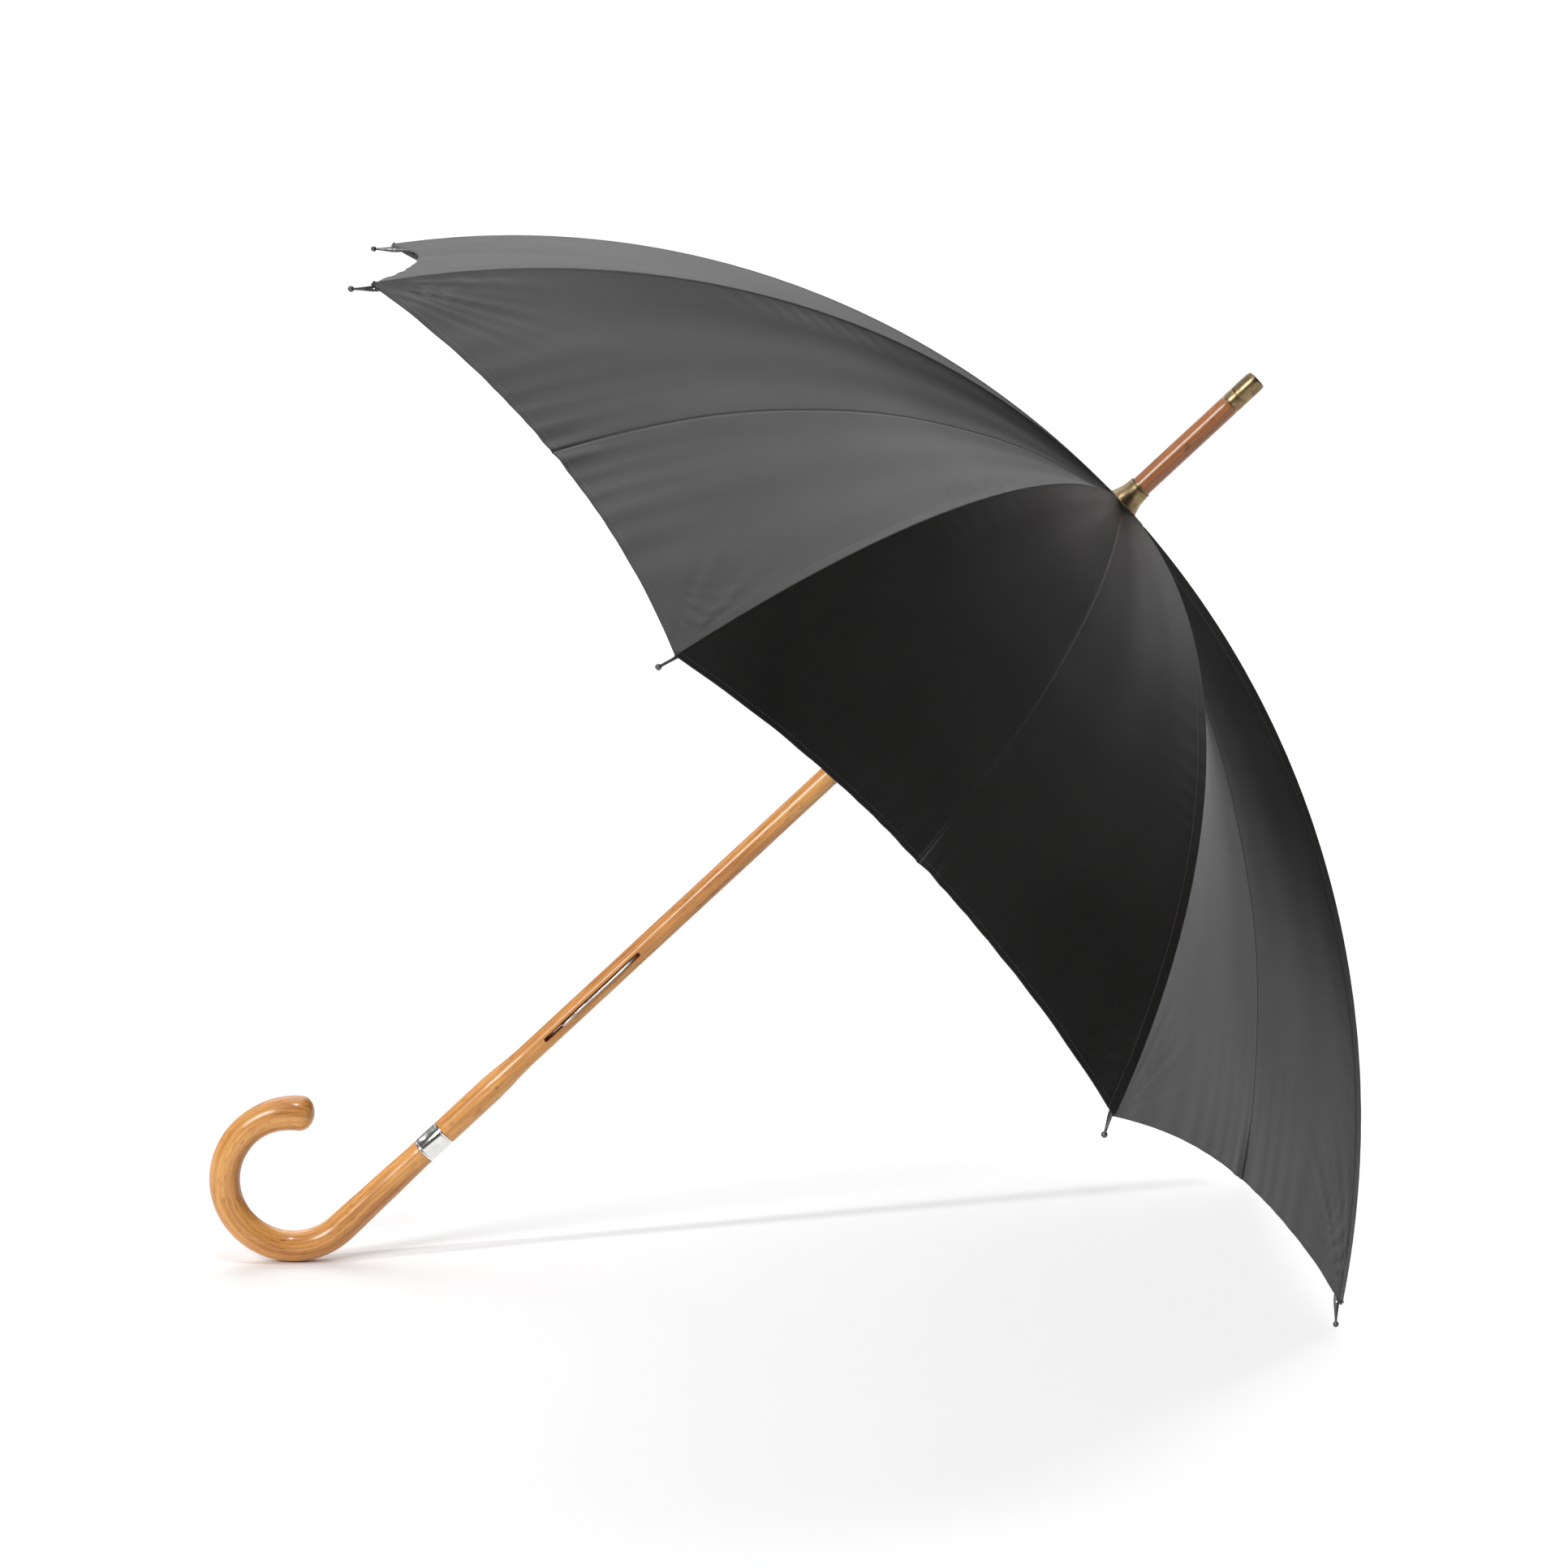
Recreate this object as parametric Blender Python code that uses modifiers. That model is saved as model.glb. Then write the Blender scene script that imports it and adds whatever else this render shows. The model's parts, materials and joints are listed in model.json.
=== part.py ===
"""Stick umbrella: a one-piece wooden stick, eight ribs, eight stretchers and a cloth canopy.

It stands the way an open umbrella is put down: on its crook and on two neighbouring rib tips.
Every part is modelled in the umbrella's own frame, which an empty then tilts into place. That
frame's Z runs up the shaft to the ferrule, its X points to the hook's open side, and its origin
is where the top of the cloth meets the shaft. "Radius" and "height" below are meant in it.
"""

from math import asin, atan2, cos, hypot, pi, radians, sin

import bmesh
import bpy
from mathutils import Matrix, Vector

# Driving dimensions, in metres and radians
GAP = 0.0003
RIBS = 8
RIB_TURN = 2 * pi / RIBS
FIRST_RIB = -RIB_TURN / 2
LOW_RIB = FIRST_RIB + 4 * RIB_TURN

# The cloth over a rib is an arc that falls more steeply towards the hem
CLOTH_START = 0.012
CLOTH_BEND_RADIUS = 0.6128
TOP_SLOPE = radians(1.08)
HEM_SLOPE = radians(53.83)
CLOTH_LENGTH = CLOTH_BEND_RADIUS * (HEM_SLOPE - TOP_SLOPE)
CLOTH_THICKNESS = 0.0006
SCALLOP = 0.025
SAG = 0.017
SAG_START = 0.004
CROWN_CLOTH_RADIUS = 0.0155
CROWN_CLOTH_BORE = 0.0084
CROWN_CLOTH_TOP = -0.0001

# The stick
SHAFT_RADIUS = 0.00735
NOSE_RADIUS = 0.0072
TENON_RADIUS = 0.0059
NOSE_END = 0.0977
TENON_END = 0.1175
SHOULDER_TOP = -0.555
SHOULDER_END = -0.587
HANDLE_RADIUS = 0.0091
COLLAR_TOP = -0.6308
COLLAR_LENGTH = 0.020
CROOK_START = -0.7291
CROOK_RADIUS = 0.047
CROOK_TUBE = 0.0106
CROOK_TURN = radians(230)
BULB_RADIUS = 0.0121
STICK_SIDES = 16

# Ferrule and open cap
FERRULE_TIP = 0.1229
FERRULE_RADIUS = 0.0072
CAP_HEIGHT = 0.017
CAP_RIM_RADIUS = 0.0116

# Notched wheels at the crown and on the runner, and the wires that the ribs turn on
PIVOT_RADIUS = 0.011
PIVOT_TOP = -0.0052
WHEEL_RADIUS = 0.0126
HUB_RADIUS = 0.0090
BORE_RADIUS = 0.00775
SLOT_WIDTH = 0.0022
GROOVE_HALF = 0.0009
RING_WIRE = 0.0005

# Ribs and stretchers
ROD_RADIUS = 0.0014
FACET_SLACK = 0.0007
RIB_DROP = CLOTH_THICKNESS + GAP + ROD_RADIUS + FACET_SLACK
EYE_RADIUS = 0.0017
EYE_HOLE = 0.00085
EYE_HALF = 0.00075
TONGUE = 0.0058
RIB_JOINT_AT = 0.243
LUG_OFFSET = 0.0046
BEND_PAST_LUG = 0.0035
LUG_HALF = 0.0007
LUG_RADIUS = 0.0019
PIN_RADIUS = 0.0006
FORK_INNER = 0.0011
FORK_OUTER = 0.0019
FORK_HALF = 0.0015
FORK_LENGTH = 0.008
PIN_REACH = 0.0021
TIP_HALF = 0.0008
EYE_FROM_HEM = 0.001
SEWING_HOLE = 0.0008
TIP_LENGTH = 0.0134
TIP_DROP = 0.0012
BALL_RADIUS = 0.0020

# Runner, springs and pins
RUNNER_TUBE_RADIUS = 0.0086
RUNNER_BELOW = 0.052
WHEEL_ABOVE = 0.0032
WHEEL_BELOW = 0.0044
WINDOW_TOP = -0.0195
WINDOW_BOTTOM = -0.0373
WINDOW_WIDTH = 0.0046
SPRING_WIRE = 0.0008
SPRING_SLOT_HALF = 0.0016
SPRING_SLOT_FLOOR = -0.0022
HAND_SLOT = (-0.5365, -0.4475)
HAND_ANCHOR = -0.4500
HAND_NOSE = -0.5193
CATCH_GAP = 0.0005
PIN_HOLE_GAP = 0.0003
STOP_PIN_RADIUS = 0.0010
CROWN_PIN_RADIUS = 0.0008
CROWN_PIN_HEIGHT = -0.0132
CROWN_SKIRT_END = -0.0165

# Tie band on the far side, beside the seam of one rib
BAND_RIB = 7
BAND_WIDTH = 0.014
BAND_FROM_SEAM = 0.002
BAND_THICKNESS = 0.0012
BAND_LENGTH = 0.190
BAND_HEM_GAP = 0.030
STUD_RADIUS = 0.0055


def cloth_line(s, drop=0.0):
    """Radius, height and slope where arc length s from the top meets a rib, drop under the cloth."""
    slope = TOP_SLOPE + s / CLOTH_BEND_RADIUS
    radius = CLOTH_START + CLOTH_BEND_RADIUS * (sin(slope) - sin(TOP_SLOPE))
    height = -CLOTH_BEND_RADIUS * (cos(TOP_SLOPE) - cos(slope))
    return radius - drop * sin(slope), height - drop * cos(slope), slope


def fold_geometry():
    """The lug pivot on a rib, the runner's pivot height and the rib's bending point, worked out."""
    radius, height, slope = cloth_line(RIB_JOINT_AT, RIB_DROP + LUG_OFFSET)
    lug = Vector((radius, 0, height))
    runner_pivot = PIVOT_TOP - 2 * (PIVOT_TOP - lug.z)
    radius, height, _ = cloth_line(RIB_JOINT_AT + BEND_PAST_LUG, RIB_DROP - ROD_RADIUS)
    return lug, slope, runner_pivot, Vector((radius, 0, height))


LUG, LUG_SLOPE, RUNNER_PIVOT, BEND_POINT = fold_geometry()
RUNNER_END = RUNNER_PIVOT - RUNNER_BELOW
STOP_HEIGHT = RUNNER_PIVOT + WHEEL_ABOVE + GAP + STOP_PIN_RADIUS
TOP_NOSE = RUNNER_END - CATCH_GAP
TOP_SLOT = (TOP_NOSE - 0.056, TOP_NOSE + 0.0042)
TOP_ANCHOR = TOP_NOSE - 0.0535


def ball_place():
    """Radius and height of the middle of a rib's ball tip."""
    radius, height, slope = cloth_line(CLOTH_LENGTH, TIP_DROP)
    return radius + TIP_LENGTH * cos(slope), height - TIP_LENGTH * sin(slope)


def standing_pose():
    """The shaft's tilt and the origin's height that put the crook and two rib tips on the floor."""
    ball_radius, ball_height = ball_place()
    along = -CROOK_START + ball_height
    across = ball_radius * cos(LOW_RIB) - CROOK_RADIUS
    drop = BALL_RADIUS - CROOK_RADIUS - CROOK_TUBE
    tilt = asin(drop / hypot(along, across)) - atan2(across, along)
    height = CROOK_RADIUS + CROOK_TUBE - CROOK_START * sin(tilt) - CROOK_RADIUS * cos(tilt)
    return tilt, height


TILT, ORIGIN_HEIGHT = standing_pose()
ORIGIN_ALONG = 0.23956


def clear_scene():
    for ob in list(bpy.data.objects):
        bpy.data.objects.remove(ob, do_unlink=True)


def new_collection(name):
    found = bpy.data.collections.new(name)
    bpy.context.scene.collection.children.link(found)
    return found


def material(name, color, roughness, metallic=0.0):
    made = bpy.data.materials.new(name)
    made.use_nodes = True
    shader = made.node_tree.nodes["Principled BSDF"]
    shader.inputs["Base Color"].default_value = (*color, 1)
    shader.inputs["Roughness"].default_value = roughness
    shader.inputs["Metallic"].default_value = metallic
    return made


clear_scene()
PARTS = new_collection("stick_umbrella")
CUTTERS = new_collection("cutters")
FRAME = bpy.data.objects.new("umbrella_frame", None)
PARTS.objects.link(FRAME)
FRAME.matrix_world = Matrix(
    (
        (-sin(TILT), 0, cos(TILT), ORIGIN_ALONG),
        (0, -1, 0, 0),
        (cos(TILT), 0, sin(TILT), ORIGIN_HEIGHT),
        (0, 0, 0, 1),
    )
)
WOOD = material("varnished_wood", (0.55, 0.31, 0.14), 0.28)
CLOTH = material("black_cloth", (0.03, 0.03, 0.028), 0.55)
STEEL = material("dark_steel", (0.12, 0.12, 0.12), 0.35, 1.0)
NICKEL = material("nickel_wire", (0.62, 0.61, 0.58), 0.25, 1.0)
SILVER = material("silver_collar", (0.80, 0.80, 0.80), 0.15, 1.0)
BRASS = material("aged_brass", (0.33, 0.26, 0.14), 0.40, 1.0)


def show(mesh, name, look, at=(0, 0, 0), turn=0.0):
    """Add a mesh as a part, at a place in the umbrella's frame, turned about the shaft."""
    ob = bpy.data.objects.new(name, mesh)
    PARTS.objects.link(ob)
    if not mesh.materials:
        mesh.materials.append(look)
    ob.parent = FRAME
    ob.location = Matrix.Rotation(turn, 4, "Z") @ Vector(at)
    ob.rotation_euler.z = turn
    return ob


def baked(ob, name, weld=0.00001):
    """The evaluated mesh of an object, welded, with the object removed."""
    bpy.context.view_layer.update()
    evaluated = ob.evaluated_get(bpy.context.evaluated_depsgraph_get())
    mesh = bpy.data.meshes.new_from_object(evaluated)
    mesh.name = name
    bm = bmesh.new()
    bm.from_mesh(mesh)
    bmesh.ops.transform(bm, matrix=ob.matrix_world, verts=bm.verts)
    bmesh.ops.remove_doubles(bm, verts=bm.verts, dist=weld)
    bmesh.ops.recalc_face_normals(bm, faces=bm.faces)
    bm.to_mesh(mesh)
    bm.free()
    bpy.data.objects.remove(ob, do_unlink=True)
    return mesh


def cutter(mesh):
    ob = bpy.data.objects.new("cutter", mesh)
    CUTTERS.objects.link(ob)
    ob.hide_render = True
    ob.display_type = "WIRE"
    return ob


def combined(mesh, name, changes):
    """A mesh after a list of (operation, other mesh) Booleans."""
    ob = bpy.data.objects.new(name, mesh)
    CUTTERS.objects.link(ob)
    for operation, other in changes:
        step = ob.modifiers.new(operation, "BOOLEAN")
        step.operation = operation
        step.solver = "EXACT"
        step.object = cutter(other)
    return baked(ob, name, weld=0.0000005)


def box_mesh(low, high):
    bm = bmesh.new()
    middle = [(a + b) / 2 for a, b in zip(low, high)]
    size = [b - a for a, b in zip(low, high)]
    place = Matrix.Translation(middle) @ Matrix.Diagonal((*size, 1))
    bmesh.ops.create_cube(bm, size=1, matrix=place)
    mesh = bpy.data.meshes.new("box")
    bm.to_mesh(mesh)
    bm.free()
    return mesh


def rod_mesh(start, end, radius, sides):
    """A straight round rod between two points."""
    start, end = Vector(start), Vector(end)
    turn = (end - start).to_track_quat("Z", "Y").to_matrix().to_4x4()
    bm = bmesh.new()
    bmesh.ops.create_cone(
        bm,
        cap_ends=True,
        segments=sides,
        radius1=radius,
        radius2=radius,
        depth=(end - start).length,
        matrix=Matrix.Translation((start + end) / 2) @ turn,
    )
    mesh = bpy.data.meshes.new("rod")
    bm.to_mesh(mesh)
    bm.free()
    return mesh


def turned_mesh(name, profile, sides, ring=True):
    """A shape turned about Z from (radius, height) points, outer side first, downwards.

    A ring's outline is joined end to start. Any other outline starts and ends on the axis.
    """
    mesh = bpy.data.meshes.new(name)
    points = [(radius, 0, height) for radius, height in profile]
    edges = [(i, i + 1) for i in range(len(points) - 1)]
    if ring:
        edges.append((len(points) - 1, 0))
    mesh.from_pydata(points, edges, [])
    ob = bpy.data.objects.new(name, mesh)
    CUTTERS.objects.link(ob)
    screw = ob.modifiers.new("turn", "SCREW")
    screw.steps = sides
    screw.render_steps = sides
    screw.use_merge_vertices = True
    screw.merge_threshold = 0.00001
    return baked(ob, name)


def wire_mesh(name, points, radii, resolution):
    """A round wire or stick along a line of points, with its radius given at each."""
    curve = bpy.data.curves.new(name, "CURVE")
    curve.dimensions = "3D"
    curve.bevel_depth = 1.0
    curve.bevel_resolution = resolution
    curve.use_fill_caps = True
    spline = curve.splines.new("POLY")
    spline.points.add(len(points) - 1)
    for knot, place, radius in zip(spline.points, points, radii):
        knot.co = (*place, 1)
        knot.radius = radius
    ob = bpy.data.objects.new(name, curve)
    CUTTERS.objects.link(ob)
    return baked(ob, name)


def loft_mesh(name, sections):
    """A closed rod lofted through six-sided sections in the XZ plane, flat on both sides.

    Each section is (x, z, slope, half width along Y, half height across the slope).
    """
    bm = bmesh.new()
    rings = []
    for x, z, slope, wide, high in sections:
        ring = []
        for i in range(6):
            angle = (i + 0.5) * pi / 3
            across = high * sin(angle)
            side = wide * cos(angle) / cos(pi / 6)
            ring.append(bm.verts.new((x + across * sin(slope), side, z + across * cos(slope))))
        rings.append(ring)
    for a, b in zip(rings, rings[1:]):
        for i in range(6):
            bm.faces.new((a[i], a[(i + 1) % 6], b[(i + 1) % 6], b[i]))
    bm.faces.new(rings[0][::-1])
    bm.faces.new(rings[-1])
    bmesh.ops.recalc_face_normals(bm, faces=bm.faces)
    mesh = bpy.data.meshes.new(name)
    bm.to_mesh(mesh)
    bm.free()
    return mesh


def smooth(mesh, angle=40):
    mesh.shade_smooth()
    mesh.set_sharp_from_angle(angle=radians(angle))
    return mesh


def rib_angle(number):
    return FIRST_RIB + (number - 1) * RIB_TURN


# The stick and what is fixed to it


def stick():
    """Ferrule tenon, nose, shaft, handle and crook in one piece of wood, slotted for two springs."""
    line = [
        (0, TENON_END, TENON_RADIUS),
        (0, NOSE_END, TENON_RADIUS),
        (0, NOSE_END - 0.0001, NOSE_RADIUS),
        (0, 0.004, NOSE_RADIUS),
        (0, 0.0, SHAFT_RADIUS),
        (0, SHOULDER_TOP, SHAFT_RADIUS),
        (0, SHOULDER_TOP - 0.010, SHAFT_RADIUS + 0.0004),
        (0, SHOULDER_END + 0.008, HANDLE_RADIUS - 0.0004),
        (0, SHOULDER_END, HANDLE_RADIUS),
        (0, COLLAR_TOP + GAP, HANDLE_RADIUS),
        (0, COLLAR_TOP + GAP - 0.0001, HANDLE_RADIUS - 0.0009),
        (0, COLLAR_TOP - COLLAR_LENGTH - GAP, HANDLE_RADIUS - 0.0009),
        (0, COLLAR_TOP - COLLAR_LENGTH - GAP - 0.0001, HANDLE_RADIUS),
        (0, (COLLAR_TOP + CROOK_START) / 2 - 0.010, HANDLE_RADIUS + 0.0008),
    ]
    steps = 18
    for i in range(steps + 1):
        angle = pi + CROOK_TURN * i / steps
        swell = max(0.0, (i / steps - 0.80) / 0.20)
        radius = CROOK_TUBE + (BULB_RADIUS - CROOK_TUBE) * swell * swell * (3 - 2 * swell)
        line.append(
            (
                CROOK_RADIUS + CROOK_RADIUS * cos(angle),
                CROOK_START + CROOK_RADIUS * sin(angle),
                radius,
            )
        )
    end_x, end_z, _ = line[-1]
    heading = pi / 2 + pi + CROOK_TURN
    for turn in (25, 50, 70, 84):
        past = BULB_RADIUS * 0.8 * sin(radians(turn))
        line.append(
            (
                end_x + past * cos(heading),
                end_z + past * sin(heading),
                BULB_RADIUS * cos(radians(turn)),
            )
        )
    places = [(x, 0, z) for x, z, _ in line]
    mesh = wire_mesh("stick", places, [radius for _, _, radius in line], (STICK_SIDES - 4) // 2)
    half = SPRING_SLOT_HALF
    hand_slot = box_mesh((-half, SPRING_SLOT_FLOOR, HAND_SLOT[0]), (half, 0.02, HAND_SLOT[1]))
    top_slot = box_mesh((-half, -0.02, TOP_SLOT[0]), (half, -SPRING_SLOT_FLOOR, TOP_SLOT[1]))
    stop_hole = rod_mesh(
        (-0.02, 0, STOP_HEIGHT), (0.02, 0, STOP_HEIGHT), STOP_PIN_RADIUS + PIN_HOLE_GAP, 12
    )
    crown_hole = rod_mesh(
        (0, -0.02, CROWN_PIN_HEIGHT), (0, 0.02, CROWN_PIN_HEIGHT), CROWN_PIN_RADIUS + PIN_HOLE_GAP, 12
    )
    cuts = [("DIFFERENCE", other) for other in (hand_slot, top_slot, stop_hole, crown_hole)]
    show(smooth(combined(mesh, "stick", cuts)), "stick", WOOD)


def handle_collar():
    inner, outer, edge = HANDLE_RADIUS - 0.0005, HANDLE_RADIUS + 0.00015, 0.0006
    top, bottom = COLLAR_TOP, COLLAR_TOP - COLLAR_LENGTH
    profile = [
        (outer - edge / 2, top),
        (outer, top - edge),
        (outer, bottom + edge),
        (outer - edge / 2, bottom),
        (inner, bottom),
        (inner, top),
    ]
    show(smooth(turned_mesh("handle_collar", profile, 24)), "handle_collar", SILVER)


def ferrule():
    """A brass thimble over the nose's tenon, with a flat end."""
    base, bore = NOSE_END + GAP, TENON_RADIUS + GAP + 0.0001
    inner_end = TENON_END + GAP + 0.0005
    profile = [
        (0, FERRULE_TIP),
        (FERRULE_RADIUS - 0.0010, FERRULE_TIP),
        (FERRULE_RADIUS - 0.0003, FERRULE_TIP - 0.0007),
        (FERRULE_RADIUS, FERRULE_TIP - 0.004),
        (FERRULE_RADIUS, base),
        (bore, base),
        (bore, inner_end),
        (0, inner_end),
    ]
    show(smooth(turned_mesh("ferrule", profile, 16, ring=False)), "ferrule", BRASS)


def open_cap():
    """The flared brass cap that holds the cloth down at the top of the shaft."""
    inner = NOSE_RADIUS + GAP + 0.0001
    profile = [
        (inner + 0.0004, CAP_HEIGHT),
        (inner + 0.0006, CAP_HEIGHT - 0.001),
        (inner + 0.0008, 0.0120),
        (inner + 0.0014, 0.0080),
        (inner + 0.0026, 0.0042),
        (CAP_RIM_RADIUS - 0.0002, 0.0012),
        (CAP_RIM_RADIUS, GAP),
        (CAP_RIM_RADIUS - 0.0010, GAP),
        (inner + 0.0018, 0.0036),
        (inner + 0.0006, 0.0075),
        (inner, 0.0120),
        (inner, CAP_HEIGHT),
    ]
    show(smooth(turned_mesh("open_cap", profile, 20), 50), "open_cap", BRASS)


def crown_cloth():
    """The eight-sided ring of cloth at the top, between the cap and the crown wheel."""
    top, bottom = CROWN_CLOTH_TOP, CROWN_CLOTH_TOP - CLOTH_THICKNESS
    profile = [
        (CROWN_CLOTH_RADIUS, top),
        (CROWN_CLOTH_RADIUS, bottom),
        (CROWN_CLOTH_BORE, bottom),
        (CROWN_CLOTH_BORE, top),
    ]
    show(turned_mesh("crown_cloth", profile, RIBS), "crown_cloth", CLOTH, turn=FIRST_RIB)


def notched_wheel(name, pivot, top, bottom, skirt, changes):
    """A wheel with a slot for each rib and a groove round it for the wire that they turn on.

    The skirt is the outline below the wheel, from its outer side down and across to the bore.
    """
    groove = PIVOT_RADIUS - RING_WIRE - PIN_HOLE_GAP
    profile = [
        (WHEEL_RADIUS, top),
        (WHEEL_RADIUS, pivot + GROOVE_HALF),
        (groove, pivot + GROOVE_HALF),
        (groove, pivot - GROOVE_HALF),
        (WHEEL_RADIUS, pivot - GROOVE_HALF),
        (WHEEL_RADIUS, bottom),
        *skirt,
        (BORE_RADIUS, top),
    ]
    slots = []
    for number in range(1, RIBS + 1):
        slot = box_mesh(
            (HUB_RADIUS, -SLOT_WIDTH / 2, bottom - GAP),
            (WHEEL_RADIUS + 0.003, SLOT_WIDTH / 2, top + GAP),
        )
        slot.transform(Matrix.Rotation(rib_angle(number), 4, "Z"))
        slots.append(("DIFFERENCE", slot))
    return smooth(combined(turned_mesh(name, profile, 24), name, slots + changes))


def crown():
    """The wheel fixed at the top of the shaft, with a skirt that a pin goes through."""
    top = CROWN_CLOTH_TOP - CLOTH_THICKNESS - GAP
    bottom = PIVOT_TOP - WHEEL_BELOW
    skirt = [(HUB_RADIUS, bottom), (HUB_RADIUS, CROWN_SKIRT_END), (BORE_RADIUS, CROWN_SKIRT_END)]
    hole = rod_mesh(
        (0, -0.02, CROWN_PIN_HEIGHT), (0, 0.02, CROWN_PIN_HEIGHT), CROWN_PIN_RADIUS + PIN_HOLE_GAP, 12
    )
    mesh = notched_wheel("crown", PIVOT_TOP, top, bottom, skirt, [("DIFFERENCE", hole)])
    show(mesh, "crown", NICKEL)


def ring_wire(name, height):
    """The ring of wire that eight eyes turn on."""
    sides = 5
    profile = []
    for i in range(sides):
        angle = pi / 2 - 2 * pi * i / sides
        profile.append((PIVOT_RADIUS + RING_WIRE * cos(angle), height + RING_WIRE * sin(angle)))
    return smooth(turned_mesh(name, profile, 24))


def cross_pin(name, axis, height, radius, reach):
    axis = Vector(axis)
    middle = Vector((0, 0, height))
    mesh = rod_mesh(middle - axis * reach, middle + axis * reach, radius, 12)
    show(smooth(mesh), name, STEEL)


# The runner and the springs that hold it


def set_origin(ob, place):
    """Move an object's origin to a place in the umbrella's frame without moving its shape."""
    ob.data.transform(Matrix.Translation(-Vector(place)))
    ob.location = place


def runner_pivot_point():
    """Where the runner turns on the first stretcher."""
    return Matrix.Rotation(FIRST_RIB, 4, "Z") @ Vector((PIVOT_RADIUS, 0, RUNNER_PIVOT))


def runner():
    """The sliding tube, with its notched wheel on top and a window for the hand spring's nose."""
    top, bottom = RUNNER_PIVOT + WHEEL_ABOVE, RUNNER_PIVOT - WHEEL_BELOW
    bead = RUNNER_TUBE_RADIUS + 0.0009
    skirt = [
        (RUNNER_TUBE_RADIUS, bottom),
        (RUNNER_TUBE_RADIUS, RUNNER_END + 0.0045),
        (bead, RUNNER_END + 0.0035),
        (bead, RUNNER_END + 0.0008),
        (RUNNER_TUBE_RADIUS, RUNNER_END),
        (BORE_RADIUS, RUNNER_END),
    ]
    window = box_mesh(
        (-WINDOW_WIDTH / 2, 0.004, RUNNER_PIVOT + WINDOW_BOTTOM),
        (WINDOW_WIDTH / 2, 0.02, RUNNER_PIVOT + WINDOW_TOP),
    )
    mesh = notched_wheel("runner", RUNNER_PIVOT, top, bottom, skirt, [("DIFFERENCE", window)])
    set_origin(show(mesh, "runner", NICKEL), runner_pivot_point())
    wire = show(ring_wire("runner_wire", RUNNER_PIVOT), "runner_wire", STEEL)
    set_origin(wire, runner_pivot_point())


def spring(name, places):
    """A bent wire spring in the plane of its slot, from its fixed end, where its origin is."""
    line = [(0, y, z) for y, z in places]
    mesh = wire_mesh(name, line, [SPRING_WIRE] * len(line), 2)
    set_origin(show(smooth(mesh), name, NICKEL), line[0])


def hand_spring():
    """Holds the closed runner: it bows out of its slot and ends in a steep nose."""
    nose = HAND_NOSE
    places = [
        (0.0030, HAND_ANCHOR),
        (0.0054, HAND_ANCHOR - 0.0030),
        (0.0078, HAND_ANCHOR - 0.0100),
        (0.0089, HAND_ANCHOR - 0.0220),
        (0.0091, nose + 0.0300),
        (0.0087, nose + 0.0190),
        (0.0092, nose + 0.0130),
        (0.0108, nose + 0.0070),
        (0.0114, nose + 0.0025),
        (0.0106, nose + 0.0004),
        (0.0072, nose),
        (0.0040, nose - 0.0010),
        (0.0032, nose - 0.0090),
    ]
    spring("hand_spring", places)


def top_spring():
    """Holds the open runner up: it rises out of its slot to a steep nose under the runner's end."""
    nose = TOP_NOSE - SPRING_WIRE
    places = [
        (-0.0030, TOP_ANCHOR),
        (-0.0050, TOP_ANCHOR + 0.0025),
        (-0.0072, TOP_ANCHOR + 0.0095),
        (-0.0085, nose - 0.0290),
        (-0.0098, nose - 0.0130),
        (-0.0108, nose - 0.0045),
        (-0.0108, nose - 0.0008),
        (-0.0096, nose),
        (-0.0068, nose),
        (-0.0044, nose + 0.0004),
        (-0.0034, nose + 0.0030),
    ]
    spring("top_spring", places)


# Ribs and stretchers, each shaped in the XZ plane and turned to its place


def eye_sections(x, z, slope):
    """The flattened round end of a wire, up to its eye's middle."""
    sections = []
    for back, wide, high in ((1.0, 0.7, 0.30), (0.80, 1.0, 0.62), (0.42, 1.0, 0.92), (0.0, 1.0, 1.0)):
        along = -back * EYE_RADIUS
        sections.append(
            (
                x + along * cos(slope),
                z - along * sin(slope),
                slope,
                wide * EYE_HALF,
                high * EYE_RADIUS,
            )
        )
    return sections


def tongue_sections(x, z, slope):
    """From an eye's middle along the flat tongue to the round rod."""
    sections = []
    for along, wide, high in (
        (0.0018, EYE_HALF, EYE_RADIUS * 0.85),
        (TONGUE - 0.0010, EYE_HALF, ROD_RADIUS),
        (TONGUE, ROD_RADIUS, ROD_RADIUS),
    ):
        sections.append((x + along * cos(slope), z - along * sin(slope), slope, wide, high))
    return sections


def cross_hole(x, z, radius):
    return ("DIFFERENCE", rod_mesh((x, -0.01, z), (x, 0.01, z), radius, 8))


def shared_parts(mesh, name, look, pivot):
    """One object for each rib, all sharing a mesh whose origin is on the pivot."""
    mesh.transform(Matrix.Translation(-pivot))
    for number in range(1, RIBS + 1):
        show(mesh, name.format(number), look, at=pivot, turn=rib_angle(number))


CROWN_PIVOT = Vector((PIVOT_RADIUS, 0, PIVOT_TOP))


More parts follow.
